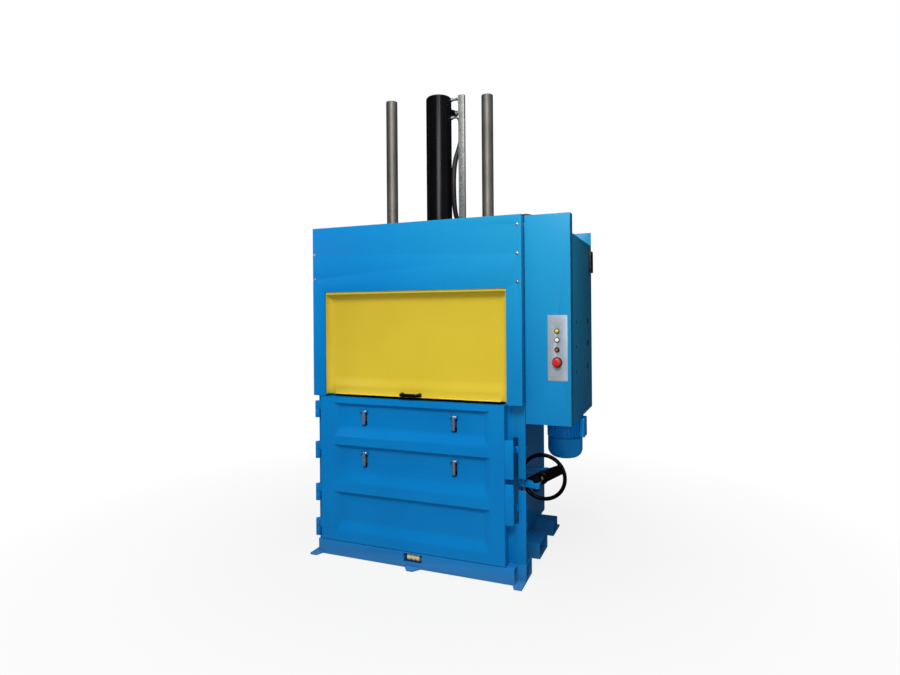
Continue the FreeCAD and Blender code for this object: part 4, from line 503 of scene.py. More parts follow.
class Piece:
    """One new piece, modelled on the bench and then handed to the body that carries it."""

    def __init__(self, name: str, finish: Finish, body: str) -> None:
        """Starts an empty piece.

        Args:
            name: the piece's name.
            finish: the finish that covers it.
            body: the body that it rides on.
        """
        self.name = name
        self.finish = finish
        self.body = body
        self.lumps: list[bpy.types.Object] = []

    def keep(self, lump: bpy.types.Object, *places: Matrix) -> bpy.types.Object:
        """Takes a lump into the piece, with its place in its mesh.

        Args:
            lump: the lump, modelled at the origin.
            places: where it stands and where its copies stand, each with its own mesh, or
                nothing for a lump that was modelled in its place.

        Returns:
            The lump.
        """
        twins = [lump, *(linked(self.name, lump.data.copy()) for _ in places[1:])]
        for twin, place in zip(twins, places or (Matrix.Identity(4),)):
            twin.matrix_world = place
            self.lumps.append(settle(twin))
        return lump

    def turned(self, outline: Rings, *places: Matrix, sides: int = 40,
               hollow: bool = False) -> bpy.types.Object:
        """A lump of revolution, drawn ring by ring.

        Args:
            outline: radius and height of each ring, in metres.
            places: where it stands and where its copies stand.
            sides: how many sides the rings have.
            hollow: leaves the ends open, for an outline that returns to its start.

        Returns:
            The lump.
        """
        clear_selection()
        radius, height = outline[0]
        bpy.ops.mesh.primitive_circle_add(vertices=sides, radius=radius,
                                          fill_type="NOTHING" if hollow else "NGON")
        lump = bpy.context.active_object
        with editing(lump):
            bpy.ops.mesh.select_mode(type="VERT")
            bpy.ops.mesh.select_all(action="SELECT")
            bpy.ops.transform.translate(value=(0.0, 0.0, height))
            for wide, level in outline[1:]:
                bpy.ops.mesh.extrude_region_move(
                    TRANSFORM_OT_translate={"value": (0.0, 0.0, level - height)})
                bpy.ops.transform.resize(value=(wide / radius, wide / radius, 1.0),
                                         center_override=(0.0, 0.0, level))
                radius, height = wide, level
            bpy.ops.mesh.select_all(action="SELECT")
            bpy.ops.mesh.remove_doubles(threshold=RING_JOIN)
            bpy.ops.mesh.normals_make_consistent(inside=False)
        return self.keep(lump, *places)

    def ring(self, place: Matrix, major: float, minor: float, sides: int,
             around: int) -> bpy.types.Object:
        """A round ring of round section.

        Args:
            place: where it stands.
            major: radius from the middle to the section's middle.
            minor: radius of the section.
            sides: how many sides the ring has.
            around: how many sides its section has.

        Returns:
            The lump.
        """
        clear_selection()
        bpy.ops.mesh.primitive_torus_add(major_radius=major, minor_radius=minor,
                                         major_segments=sides, minor_segments=around)
        return self.keep(bpy.context.active_object, place)

    def rope(self, points: Sequence[Point], radius: float, *places: Matrix, around: int,
             along: int = 1, swell: Sequence[float] = ()) -> bpy.types.Object:
        """A round bar, hose or bead along a line.

        Args:
            points: the points that guide the line.
            radius: radius of the section.
            places: where it stands and where its copies stand.
            around: how finely the section is rounded.
            along: how finely the line is rounded off between the points; at one it runs
                straight from point to point.
            swell: shares of the radius at the points, where the section changes.

        Returns:
            The lump.
        """
        line = bpy.data.curves.new(self.name, "CURVE")
        line.dimensions = "3D"
        run = line.splines.new("POLY" if along == 1 else "NURBS")
        run.points.add(len(points) - 1)
        for knot, point in zip(run.points, points):
            knot.co = (*point, 1.0)
        for knot, share in zip(run.points, swell):
            knot.radius = share
        if along > 1:
            run.order_u = 3
            run.use_endpoint_u = True
            run.resolution_u = along
        line.bevel_depth = radius
        line.bevel_resolution = around
        line.use_fill_caps = True
        pick(linked(self.name, line))
        bpy.ops.object.convert(target="MESH")
        return self.keep(bpy.context.active_object, *places)

    def copied(self, node: str, flat: bool = True) -> bpy.types.Object:
        """A merged copy of a solid, ready to be softened.

        Args:
            node: the solid.
            flat: joins the facets that lie in one plane.

        Returns:
            The lump.
        """
        lump = linked(self.name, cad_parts[node].data.copy())
        lump.data.materials.clear()
        with editing(lump):
            bpy.ops.mesh.select_all(action="SELECT")
            bpy.ops.mesh.remove_doubles(threshold=SOLID_JOIN)
            if flat:
                bpy.ops.mesh.dissolve_limited(angle_limit=math.radians(SAME_PLANE))
        return self.keep(lump)

    def helix(self, *places: Matrix, radius: float, wire: float, turns: float, pitch: float,
              steps: int, sides: int) -> bpy.types.Object:
        """A coil or a thread, wound upwards from its section by the screw modifier.

        Args:
            places: where it stands and where its copies stand.
            radius: radius of the coil, to the middle of the wire.
            wire: radius of the wire.
            turns: how many turns it has.
            pitch: the way from turn to turn.
            steps: how many steps make a turn.
            sides: how many sides the wire has.

        Returns:
            The lump.
        """
        clear_selection()
        bpy.ops.mesh.primitive_circle_add(vertices=sides, radius=wire, location=(radius, 0, 0),
                                          rotation=(math.pi / 2, 0, 0))
        lump = settle(bpy.context.active_object)
        wound = lump.modifiers.new("wound", "SCREW")
        wound.axis = "Z"
        wound.angle = 2 * math.pi * turns
        wound.screw_offset = pitch * turns
        wound.steps = int(steps * turns)
        wound.render_steps = int(steps * turns)
        wound.use_merge_vertices = False
        bpy.ops.object.modifier_apply(modifier=wound.name)
        with editing(lump):
            bpy.ops.mesh.select_all(action="SELECT")
            bpy.ops.mesh.fill_holes(sides=0)
            bpy.ops.mesh.normals_make_consistent(inside=False)
        return self.keep(lump, *places)

    def soften(self, lump: bpy.types.Object, width: float, rounds: int = 2,
               over: float = SHARP) -> None:
        """Breaks a lump's sharp edges with a small round.

        Args:
            lump: the lump.
            width: the round's width in metres.
            rounds: how many flats make the round.
            over: edges sharper than this many degrees are rounded.
        """
        pick(lump)
        edge = lump.modifiers.new("edge", "BEVEL")
        edge.width = width
        edge.segments = rounds
        edge.limit_method = "ANGLE"
        edge.angle_limit = math.radians(over)
        edge.use_clamp_overlap = True
        edge.miter_outer = "MITER_ARC"
        bpy.ops.object.modifier_apply(modifier=edge.name)

    def done(self, *replaced: str, smooth: float = SMOOTH) -> None:
        """Joins the lumps, dresses the piece and hands it to its body.

        Args:
            replaced: the solids that this piece stands for.
            smooth: edges flatter than this many degrees are shaded smooth.
        """
        whole = pick(self.lumps[0])
        if len(self.lumps) > 1:
            for lump in self.lumps:
                lump.select_set(True)
            bpy.ops.object.join()
        whole.name = self.name
        whole.data.name = self.name
        whole.data.materials.clear()
        whole.data.materials.append(self.finish.material())
        pick(whole)
        bpy.ops.object.shade_smooth_by_angle(angle=math.radians(smooth))
        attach(whole, self.body)
        if replaced:
            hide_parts(*replaced)
        clear_selection()
        LOG.info("%s: %d faces on %s", self.name, len(whole.data.polygons), self.body)


def soft_copy(name: str, finish: Finish, body: str, node: str, width: float, rounds: int = 2,
              over: float = SHARP) -> None:
    """Makes a softened piece from a solid whose shape is right but whose edges are sharp.

    Args:
        name: the piece's name.
        finish: the finish that covers it.
        body: the body that it rides on.
        node: the solid.
        width: the round on the edges, in metres.
        rounds: how many flats make the round.
        over: edges sharper than this many degrees are rounded.
    """
    piece = Piece(name, finish, body)
    piece.soften(piece.copied(node), width, rounds, over)
    piece.done(node)


# ------------------------------------------------------------------ sub-assemblies
@dataclass
class Welds:
    """Fillet welds as the eye sees them: a low rope of overlapping ripples."""

    throat: float = 0.0035
    valley: float = 0.8             # the throat's share between two ripples
    ripple: float = 0.006
    length: float = 0.07
    pitch: float = 0.22

    def stitches(self, piece: Piece, feet: Sequence[Point], top: float) -> None:
        """Lays short beads one above the other, with gaps between them.

        Args:
            piece: the piece that the beads join.
            feet: where the lowest beads start.
            top: the height that no bead passes.
        """
        places = []
        for x, y, z in feet:
            while z + self.length < top:
                places.append(Matrix.Translation((x, y, z)))
                z += self.pitch
        steps = 2 * int(self.length / self.ripple)
        piece.rope([(0.0, 0.0, self.length * step / steps) for step in range(steps + 1)],
                   self.throat, *places, around=2,
                   swell=[1.0 if step % 2 else self.valley for step in range(steps + 1)])


@dataclass
class Base:
    """Cross beams, anchor lugs, the front sill and its chain roller."""

    beam_edge: float = 0.004
    lug_edge: float = 0.0015
    sill_edge: float = 0.003
    chamfer: float = 0.0025
    groove_depth: float = 0.005
    groove_half: float = 0.0075
    groove_place: float = 0.34      # share of the roller's half length
    groove_steps: int = 6

    def build(self) -> None:
        """Softens the welded base and turns the roller."""
        soft_copy("beams", BLUE, "frame", "base_beams", self.beam_edge, rounds=3)
        soft_copy("anchor_feet", BLUE, "frame", "anchor_lugs", self.lug_edge)
        soft_copy("sill", BLUE, "frame", "front_sill", self.sill_edge, rounds=3)
        self.roller()

    def roller(self) -> None:
        """The cream roller with three lands and two rounded grooves."""
        low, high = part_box("chain_roller")
        radius, half = (high.z - low.z) / 2, (high.x - low.x) / 2
        outline = [(radius - self.chamfer, -half), (radius, self.chamfer - half)]
        for side in (-1, 1):
            for step in range(self.groove_steps + 1):
                share = 2.0 * step / self.groove_steps - 1.0
                outline.append((radius - self.groove_depth * math.sqrt(1.0 - share * share),
                                side * half * self.groove_place + share * self.groove_half))
        outline += [(radius, half - self.chamfer), (radius - self.chamfer, half)]
        piece = Piece("roller_body", NYLON, "roller")
        piece.turned(outline, Axis.X.at(middle_of("chain_roller")))
        piece.done("chain_roller")


@dataclass
class Chamber:
    """Side and rear walls, front flanges, posts and the crosshead."""

    edge: float = 0.002
    post_edge: float = 0.005
    posts: int = 4
    post_width: float = 0.098
    weld_foot: float = 0.06         # from the posts' foot to the lowest bead
    outer_corner: float = 0.01      # no bead so near to the posts' outer sides

    def build(self) -> None:
        """Softens the heavy plates and lays the welds behind."""
        soft_copy("flanges", BLUE, "frame", "front_flanges", self.edge)
        soft_copy("chamber_shell", BLUE, "frame", "chamber_plates", self.edge)
        soft_copy("posts", BLUE, "frame", "rear_posts", self.post_edge, rounds=3)
        soft_copy("head_beam", BLUE, "frame", "crosshead", self.edge)
        self.post_welds()

    def post_welds(self) -> None:
        """Stitch welds in the corners between the rear plate and its posts."""
        low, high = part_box("rear_posts")
        pitch = (high.x - low.x - self.post_width) / (self.posts - 1)
        corners = [low.x + index * pitch + side for index in range(self.posts)
                   for side in (0.0, self.post_width)]
        feet = [(x, low.y, low.z + self.weld_foot) for x in corners
                if abs(x) < high.x - self.outer_corner]
        piece = Piece("post_welds", BLUE, "frame")
        Welds().stitches(piece, feet, high.z)
        piece.done()


@dataclass
class Press:
    """Cylinder, columns, platen, hose rail and hoses."""

    rail_edge: float = 0.0008
    platen_edge: float = 0.002
    barrel_edge: float = 0.0022
    column_edge: float = 0.0025
    union_edge: float = 0.001
    bolt_edge: float = 0.0008
    stud_edge: float = 0.0006
    stud_inset: float = 0.0145      # from the end of the two studs' box to a stud's axis
    stud_r: float = 0.0072
    stud_thread: float = 0.0009
    stud_pitch: float = 0.002
    thread_start: float = 0.003
    thread_gap: float = 0.012       # from the thread's end to the rail
    hose_r: float = 0.017
    ferrule_front: Rings = ((0.0185, 0.0), (0.0198, 0.002), (0.0198, 0.012))
    crimps: int = 4
    crimp: Rings = ((0.0188, 0.001), (0.0188, 0.003), (0.0198, 0.004), (0.0198, 0.006))
    ferrule_end: tuple[float, float] = (0.0178, 0.0385)
    upper_route: tuple[tuple[float, float, float], ...] = (
        (0.0730, 0.0934, 3.001), (0.1013, 0.1296, 3.001), (0.152, 0.062, 2.860),
        (0.135, 0.060, 2.757), (0.111, -0.006, 2.610), (0.110, -0.006, 2.360),
        (0.113, 0.034, 2.228), (0.150, 0.040, 2.215), (0.215, 0.040, 2.215),
        (0.300, -0.006, 2.215), (0.600, -0.008, 2.215), (0.640, -0.008, 2.215),
        (0.850, -0.008, 2.140), (0.850, -0.008, 2.085))
    lower_route: tuple[tuple[float, float, float], ...] = (
        (0.0, 0.1185, 2.230), (0.0, 0.165, 2.230), (0.070, 0.1805, 2.217),
        (0.240, 0.160, 2.215), (0.560, 0.160, 2.215), (0.640, 0.160, 2.213),
        (0.850, 0.160, 2.140), (0.850, 0.160, 2.085))

    def build(self) -> None:
        """Softens the heavy pieces and the foot bolts, and makes stand-offs and hoses."""
        soft_copy("rail_channel", GALVANISED, "frame", "hose_rail", self.rail_edge)
        soft_copy("platen_body", BLUE, "platen", "platen", self.platen_edge)
        soft_copy("barrel", BLACK, "frame", "cylinder_barrel", self.barrel_edge, rounds=3,
                  over=SHARP_ON_ROUND)
        soft_copy("columns", GROUND, "platen", "guide_columns", self.column_edge, rounds=3,
                  over=SHARP_ON_ROUND)
        soft_copy("hose_unions", ZINC, "frame", "hose_fittings", self.union_edge)
        self.studs()
        self.hoses()
        soft_copy("foot_bolts", ZINC, "frame", "flange_bolts", self.bolt_edge)

    def studs(self) -> None:
        """Threaded stand-offs with a nut and washer each side of the rail's leg."""
        low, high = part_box("rail_studs")
        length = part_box("hose_rail")[0].x - low.x - self.thread_gap
        piece = Piece("stand_offs", ZINC, "frame")
        piece.soften(piece.copied("rail_studs"), self.stud_edge)
        starts = [Axis.X.at((low.x + self.thread_start, (low.y + high.y) / 2, level))
                  for level in (high.z - self.stud_inset, low.z + self.stud_inset)]
        piece.helix(*starts, radius=self.stud_r, wire=self.stud_thread,
                    turns=length / self.stud_pitch, pitch=self.stud_pitch, steps=14, sides=5)
        piece.done("rail_studs")

    def ferrule(self) -> Rings:
        """The outline of a crimped ferrule.

        Returns:
            Radius and height of each ring, from the hose's end inwards.
        """
        outline = list(self.ferrule_front)
        for _ in range(self.crimps):
            start = outline[-1][1]
            outline += [(wide, start + level) for wide, level in self.crimp]
        return [*outline, self.ferrule_end]

    def hoses(self) -> None:
        """The two wrapped pressure hoses with their crimped ferrules."""
        rubber = Piece("hose_lines", RUBBER, "frame")
        metal = Piece("hose_ferrules", ZINC, "frame")
        ends = []
        for route in (self.upper_route, self.lower_route):
            rubber.rope(route, self.hose_r, around=5, along=12)
            for end, inner in ((route[0], route[1]), (route[-1], route[-2])):
                way = (Vector(inner) - Vector(end)).to_track_quat("Z", "Y")
                ends.append(Matrix.Translation(end) @ way.to_matrix().to_4x4())
        metal.turned(self.ferrule(), *ends, sides=28)
        rubber.done("hoses")
        metal.done()


@dataclass
class Guard:
    """The dished yellow guard with its handle, and the blue cover round it."""

    cover_edge: float = 0.006
    channel_edge: float = 0.001
    sheet_edge: float = 0.0009
    sheet_smooth: float = 50.0
    bend_top: float = 1.175         # heights between which the sheet leaves the upright
    bend_low: float = 1.095
    bend_steps: int = 6
    flare: float = 0.013            # how far its foot stands forward
    flare_out: float = 0.600        # half widths from no flare to all of it
    flare_in: float = 0.566
    fold_cuts: tuple[float, ...] = (-0.594, -0.580, -0.566, 0.566, 0.580, 0.594)
    bar_r: float = 0.0108
    bar_inset: float = 0.011        # from the handle's box to the bar's axis
    corner_near: float = 0.012      # the points that round the bar's corners off
    corner_far: float = 0.0336
    foot: Rings = ((0.0122, -0.006), (0.0122, -0.001), (0.0112, 0.0))
    foot_rise: float = 0.014        # from the sheet to the front of a foot
    screw_head: float = 0.0045      # from the heads' fronts to the cover's face
    screw_dome: float = 0.0036
    washer: Rings = ((0.0100, 0.0), (0.0100, -0.0009), (0.0078, -0.0010))   # to the head's rim
    recess: Rings = ((0.0026, -0.0046), (0.0024, -0.0024))
    boss_r: float = 0.0105
    boss_depth: float = 0.003       # how far behind the cover's face a boss starts
    screw_places: tuple[tuple[float, float], ...] = (
        (0.690, 2.092), (0.690, 1.925), (0.690, 1.758), (-0.698, 1.976), (-0.698, 1.810))

    def build(self) -> None:
        """Makes the guard sheet, its handle, the cover and the cover's screws."""
        self.sheet()
        self.handle()
        soft_copy("cover_sheet", BLUE, "frame", "front_cover", self.cover_edge, rounds=4)
        soft_copy("guard_channels", ZINC, "frame", "guard_rails", self.channel_edge)
        self.screws()

    def sheet(self) -> None:
        """The sheet, whose foot is set a little towards the front, as pressed."""
        piece = Piece("guard_sheet", YELLOW, "guard")
        lump = piece.copied("guard_panel")
        bend = self.bend_top - self.bend_low
        cuts = [((0.0, 0.0, self.bend_low + bend * step / self.bend_steps), (0.0, 0.0, 1.0))
                for step in range(self.bend_steps + 1)]
        cuts += [((side, 0.0, 0.0), (1.0, 0.0, 0.0)) for side in self.fold_cuts]
        with editing(lump):
            for point, normal in cuts:
                bpy.ops.mesh.select_all(action="SELECT")
                bpy.ops.mesh.bisect(plane_co=point, plane_no=normal)
        for knot in lump.data.vertices:
            down = min(max((self.bend_top - knot.co.z) / bend, 0.0), 1.0)
            inward = (self.flare_out - abs(knot.co.x)) / (self.flare_out - self.flare_in)
            knot.co.y -= self.flare * down * down * (3 - 2 * down) * min(max(inward, 0.0), 1.0)
        piece.soften(lump, self.sheet_edge, over=SHARP_ON_ROUND)
        piece.done("guard_panel", smooth=self.sheet_smooth)

    def handle(self) -> None:
        """The black bow with its two flanged feet."""
        low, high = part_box("guard_handle")
        z = (low.z + high.z) / 2
        left, right = low.x + self.bar_inset, high.x - self.bar_inset
        out, back = low.y + self.bar_inset, high.y
        near, far = self.corner_near, self.corner_far
        half = ((0.0, back), (0.0, out + far), (0.0, out + near), (near, out), (far, out))
        piece = Piece("bow_handle", BLACK, "guard")
        piece.rope([(left + along, y, z) for along, y in half]
                   + [(right - along, y, z) for along, y in reversed(half)], self.bar_r,
                   around=6, along=8)
        piece.turned(self.foot, *(Axis.Y.at((x, back - self.foot_rise, z))
                                  for x in (left, right)), sides=28)
        piece.done("guard_handle")

    def screws(self) -> None:
        """Bright round-headed screws on thin washers, each with a hexagon boss behind it."""
        piece = Piece("round_heads", ZINC, "frame")
        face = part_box("cover_screws")[0].y + self.screw_head
        boss = face + self.boss_depth
        dome = [*domed(self.washer, 0.0, -self.screw_dome, parts=7, last=6), *self.recess]
        piece.turned(dome, *(Axis.Y.at((x, face, z)) for x, z in self.screw_places), sides=24)
        piece.turned([(self.boss_r, 0.0), (self.boss_r, FRONT - boss)],
                     *(Axis.Y.at((x, boss, z)) for x, z in self.screw_places), sides=6)
        piece.done("cover_screws")


@dataclass
class Door:
    """The bale door with its hinges, lock plates and retaining dogs."""

    skin_edge: float = 0.004
    skin_smooth: float = 11.0       # so low that the skin's shallow slopes stay crisp
    edge: float = 0.0015
    lug_edge: float = 0.0008
    dog_edge: float = 0.0014
    dogs: tuple[tuple[str, float, float], ...] = (
        ("dog_upper_left", -0.337, 0.918), ("dog_upper_right", 0.284, 0.918),
        ("dog_lower_left", -0.337, 0.650), ("dog_lower_right", 0.284, 0.650))
    pivot_out: float = 0.051        # the dogs' pins, in front of the flanges
    pivot_rise: float = 0.034       # the same above the dogs' middles
    pin: Rings = ((0.0042, -0.0225), (0.0052, -0.0218), (0.0052, 0.0218), (0.0042, 0.0225))
    spring_r: float = 0.0085
    wire_r: float = 0.0011
    spring_turns: float = 4.5
    spring_start: float = 0.0082    # to the right of the dog's middle
    coil_gap: float = 2.05          # pitch of the closed coils, in wire radii

    def build(self) -> None:
        """Makes the door's skin, the hinges and the dogs."""
        piece = Piece("door_skin", BLUE, "door")
        piece.soften(piece.copied("door_shell", flat=False), self.skin_edge, rounds=3)
        piece.done("door_shell", smooth=self.skin_smooth)
        soft_copy("lock_plate_pair", BLUE, "door", "lock_plates", self.edge)
        soft_copy("hinges_on_frame", BLUE, "frame", "frame_hinges", self.edge)
        soft_copy("hinges_on_door", BLUE, "door", "door_hinges", self.edge)
        soft_copy("dog_cheeks", BLUE, "door", "dog_lugs", self.lug_edge)
        soft_copy("hinge_pin_set", ZINC, "frame", "hinge_pins", self.edge)
        self.retaining_dogs()

    def retaining_dogs(self) -> None:
        """The four forged dogs, their pins and their closed coil springs."""
        for number, (body, _, _) in enumerate(self.dogs, 1):
            soft_copy(f"{body}_tooth", FORGED, body, f"dog_{number}", self.dog_edge, rounds=3)
        pins = Piece("dog_pin_set", BLUE, "door")
        springs = Piece("dog_springs", FORGED, "door")
        pivots = [(x, FRONT - self.pivot_out, level + self.pivot_rise)
                  for _, x, level in self.dogs]
        pins.turned(self.pin, *(Axis.X.at(pivot) for pivot in pivots), sides=24)
        springs.helix(*(Axis.X.at((x + self.spring_start, y, z)) for x, y, z in pivots),
                      radius=self.spring_r, wire=self.wire_r, turns=self.spring_turns,
                      pitch=self.coil_gap * self.wire_r, steps=28, sides=8)
        pins.done("dog_pins")
        springs.done()


@dataclass
class Lock:
    """The door lock: claws, arm, clevis, threaded spindle and handwheel."""

    plate_edge: float = 0.0015
    forged_edge: float = 0.0012
    bracket_edge: float = 0.002
    spindle_edge: float = 0.001
    thread_start: float = 0.075     # from the spindle's front end
    thread_gap: float = 0.004
    thread_r: float = 0.0113
    thread: float = 0.0011
    pitch: float = 0.005
    rim_back: float = 0.228         # the wheel's rim, behind the front of the flanges
    rim_r: float = 0.135
    rim_wire: float = 0.0122
    webs: tuple[float, ...] = (27.0, 207.0)
    web_y: float = 0.007
    web_hub: float = 0.037
    web_rim: float = 0.029
    web_thin: float = 0.85          # the web's thickness at the rim, as a share
    web_border: float = 0.009
    web_dish: float = 0.0028
    web_edge: float = 0.0035
    hub_back: float = 0.188
    hub: Rings = ((0.0165, 0.0), (0.035, 0.0), (0.038, 0.003), (0.038, 0.055), (0.035, 0.058),
                  (0.0165, 0.058))
    hub_edge: float = 0.0015
    cast: float = 30.0              # edges of the cast wheel sharper than this are rounded
    cast_smooth: float = 32.0
    nut_back: float = 0.181
    nut: Rings = ((0.004, 0.0), (0.0105, 0.0), (0.0105, 0.006), (0.009, 0.0075))

    def build(self) -> None:
        """Softens the plates, the shaft and the brackets, and makes the spindle and the wheel."""
        soft_copy("claws", BLUE, "lock_shaft", "lock_claws", self.plate_edge)
        soft_copy("arm", BLUE, "lock_shaft", "lock_arm", self.plate_edge)
        soft_copy("upright_shaft", ZINC, "lock_shaft", "lock_shaft", self.forged_edge)
        soft_copy("shaft_bearings", BLUE, "frame", "lock_bearings", self.forged_edge)
        soft_copy("clevis_block", BLACK, "clevis", "lock_clevis", self.forged_edge)
        soft_copy("nut_bracket", BLUE, "frame", "spindle_bracket", self.bracket_edge)
        self.spindle()
        self.wheel()

    def spindle(self) -> None:
        """The spindle with a rolled thread behind its collar."""
        low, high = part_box("spindle")
        x, _, z = middle_of("spindle")
        start = low.y + self.thread_start
        piece = Piece("threaded_spindle", ZINC, "wheel")
        piece.soften(piece.copied("spindle"), self.spindle_edge, over=SHARP_ON_ROUND)
        turns = (high.y - start - self.thread_gap) / self.pitch
        piece.helix(Axis.Y.at((x, start, z)), radius=self.thread_r, wire=self.thread,
                    turns=turns, pitch=self.pitch, steps=20, sides=6)
        piece.done("spindle")

    def wheel(self) -> None:
        """The black wheel with a stepped hub and a dished, tapering web on each side."""
        x, _, z = middle_of("handwheel")
        centre = (x, FRONT + self.rim_back, z)
        piece = Piece("hand_wheel", BLACK, "wheel")
        piece.ring(Axis.Y.at(centre), self.rim_r, self.rim_wire, sides=72, around=18)
        hub = piece.turned(self.hub, Axis.Y.at((x, FRONT + self.hub_back, z)), sides=44)
        piece.soften(hub, self.hub_edge, over=self.cast)
        web = block((0.0, -self.web_y, -self.web_hub), (self.rim_r, self.web_y, self.web_hub))
        choose_faces(web, lambda face: face.normal.x > FACING)
        with editing(web):
            bpy.ops.transform.resize(value=(1.0, self.web_thin, self.web_rim / self.web_hub),
                                     center_override=(self.rim_r, 0.0, 0.0))
        choose_faces(web, lambda face: abs(face.normal.y) > FACING)
        with editing(web):
            bpy.ops.mesh.inset(thickness=self.web_border, depth=-self.web_dish)
        piece.soften(web, self.web_edge, rounds=3, over=self.cast)
        piece.keep(web, *(Matrix.Translation(centre) @ turn_about("Y", -angle)
                          for angle in self.webs))
        piece.turned(self.nut, Axis.Y.at((x, FRONT + self.nut_back, z)), sides=6)
        piece.done("handwheel", smooth=self.cast_smooth)


@dataclass
class Cabinet:
    """The control and power cabinet with its fittings and controls."""

    sheet_edge: float = 0.003
    bracket_edge: float = 0.004
    plate_edge: float = 0.0004
    moulded_edge: float = 0.0012
    plug_levels: tuple[float, ...] = (1.523, 1.378, 1.227)
    plug_y: float = 0.175
    grommet: Rings = ((0.0075, 0.0), (0.0175, 0.0), (0.0175, 0.0022), (0.0155, 0.0042),
                      (0.0095, 0.0042), (0.0075, 0.0030), (0.0075, 0.0))
    lamp_z: float = 1.474
    start_z: float = 1.423
    selector_z: float = 1.367
    stop_z: float = 1.295
    bezel: Rings = ((0.0150, 0.0), (0.0150, -0.0032), (0.0134, -0.0048), (0.0116, -0.0050),
                    (0.0114, -0.0030))
    collar: Rings = ((0.0146, 0.0), (0.030, 0.0), (0.030, -0.0015), (0.0285, -0.0022),
                     (0.0172, -0.0022), (0.0168, -0.0032), (0.0150, -0.0032),
                     (0.0146, -0.0026), (0.0146, 0.0))
    lens: Rings = ((0.0105, -0.003), (0.0105, -0.007))      # up to its dome
    lens_dome: float = 0.004
    pointer: Rings = ((0.0095, 0.0), (0.0095, -0.0012), (0.0080, -0.0018))
    pointer_depth: float = 0.001
    pointer_edge: float = 0.0008
    mushroom: Rings = ((0.0138, 0.026), (0.0138, 0.016), (0.0215, 0.0135), (0.0240, 0.0105),
                       (0.0240, 0.0065))                    # up to its dome
    mushroom_flat: float = 0.005                            # radius of the dome's flat middle

    def build(self) -> None:
        """Softens the sheet work and makes the controls."""
        soft_copy("cabinet_pan", BLUE, "frame", "cabinet_front", self.sheet_edge, rounds=3)
        soft_copy("cabinet_case", BLUE, "frame", "cabinet_box", self.sheet_edge, rounds=3)
        soft_copy("cabinet_hangers", BLUE, "frame", "cabinet_brackets", self.bracket_edge,
                  rounds=3)
        soft_copy("vent_and_plugs", PLASTIC, "frame", "cabinet_fittings", self.moulded_edge)
        soft_copy("plate", GREY, "frame", "control_plate", self.plate_edge)
        self.grommets()
        x = middle_of("indicator_lamp")[0]
        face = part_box("control_plate")[0].y
        self.bezels(x, face)
        self.lamp(x, face)
        soft_copy("start_cap", WHITE, "start", "start_button", self.moulded_edge, rounds=3)
        soft_copy("selector_knob", PLASTIC, "selector", "selector", self.moulded_edge, rounds=3)
        self.selector_pointer(x)
        self.stop_button(x)

    def grommets(self) -> None:
        """Rubber grommets round the three plugs in the side."""
        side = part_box("cabinet_box")[1].x
        piece = Piece("plug_grommets", RUBBER, "frame")
        piece.turned(self.grommet, *(Axis.X.at((side, self.plug_y, level))
                                     for level in self.plug_levels), sides=32, hollow=True)
        piece.done()

    def bezels(self, x: float, face: float) -> None:
        """The black bezels of the small controls and the stop button's flat collar.

        Args:
            x: where the controls stand.
            face: the front of their plate.
        """
        piece = Piece("bezels", PLASTIC, "frame")
        piece.turned(self.bezel, *(Axis.Y.at((x, face, z))
                                   for z in (self.lamp_z, self.start_z, self.selector_z)))
        piece.turned(self.collar, Axis.Y.at((x, face, self.stop_z)), sides=48, hollow=True)
        piece.done("control_bezels")

    def lamp(self, x: float, face: float) -> None:
        """The lamp's domed lens.

        Args:
            x: where the controls stand.
            face: the front of their plate.
        """
        piece = Piece("lamp_lens", LENS, "frame")
        piece.turned(domed(self.lens, 0.0, -self.lens_dome), Axis.Y.at((x, face, self.lamp_z)),
                     sides=36)
        piece.done("indicator_lamp")

    def selector_pointer(self, x: float) -> None:
        """The amber pointer let into the selector's grip.

        Args:
            x: where the controls stand.
        """
        piece = Piece("selector_pointer", AMBER, "selector")
        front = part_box("selector")[0].y + self.pointer_depth
        upright = Axis.Y.at((x, front, self.selector_z)) @ turn_about("Z", 90.0)
        lump = piece.turned(self.pointer, upright, sides=3)
        piece.soften(lump, self.pointer_edge)
        piece.done()

    def stop_button(self, x: float) -> None:
        """The red mushroom with its stem and its rounded head.

        Args:
            x: where the controls stand.
        """
        piece = Piece("stop_mushroom", RED, "stop")
        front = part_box("stop_button")[0].y
        piece.turned(domed(self.mushroom, self.mushroom_flat, -self.mushroom[-1][1]),
                     Axis.Y.at((x, front, self.stop_z)), sides=48)
        piece.done("stop_button")


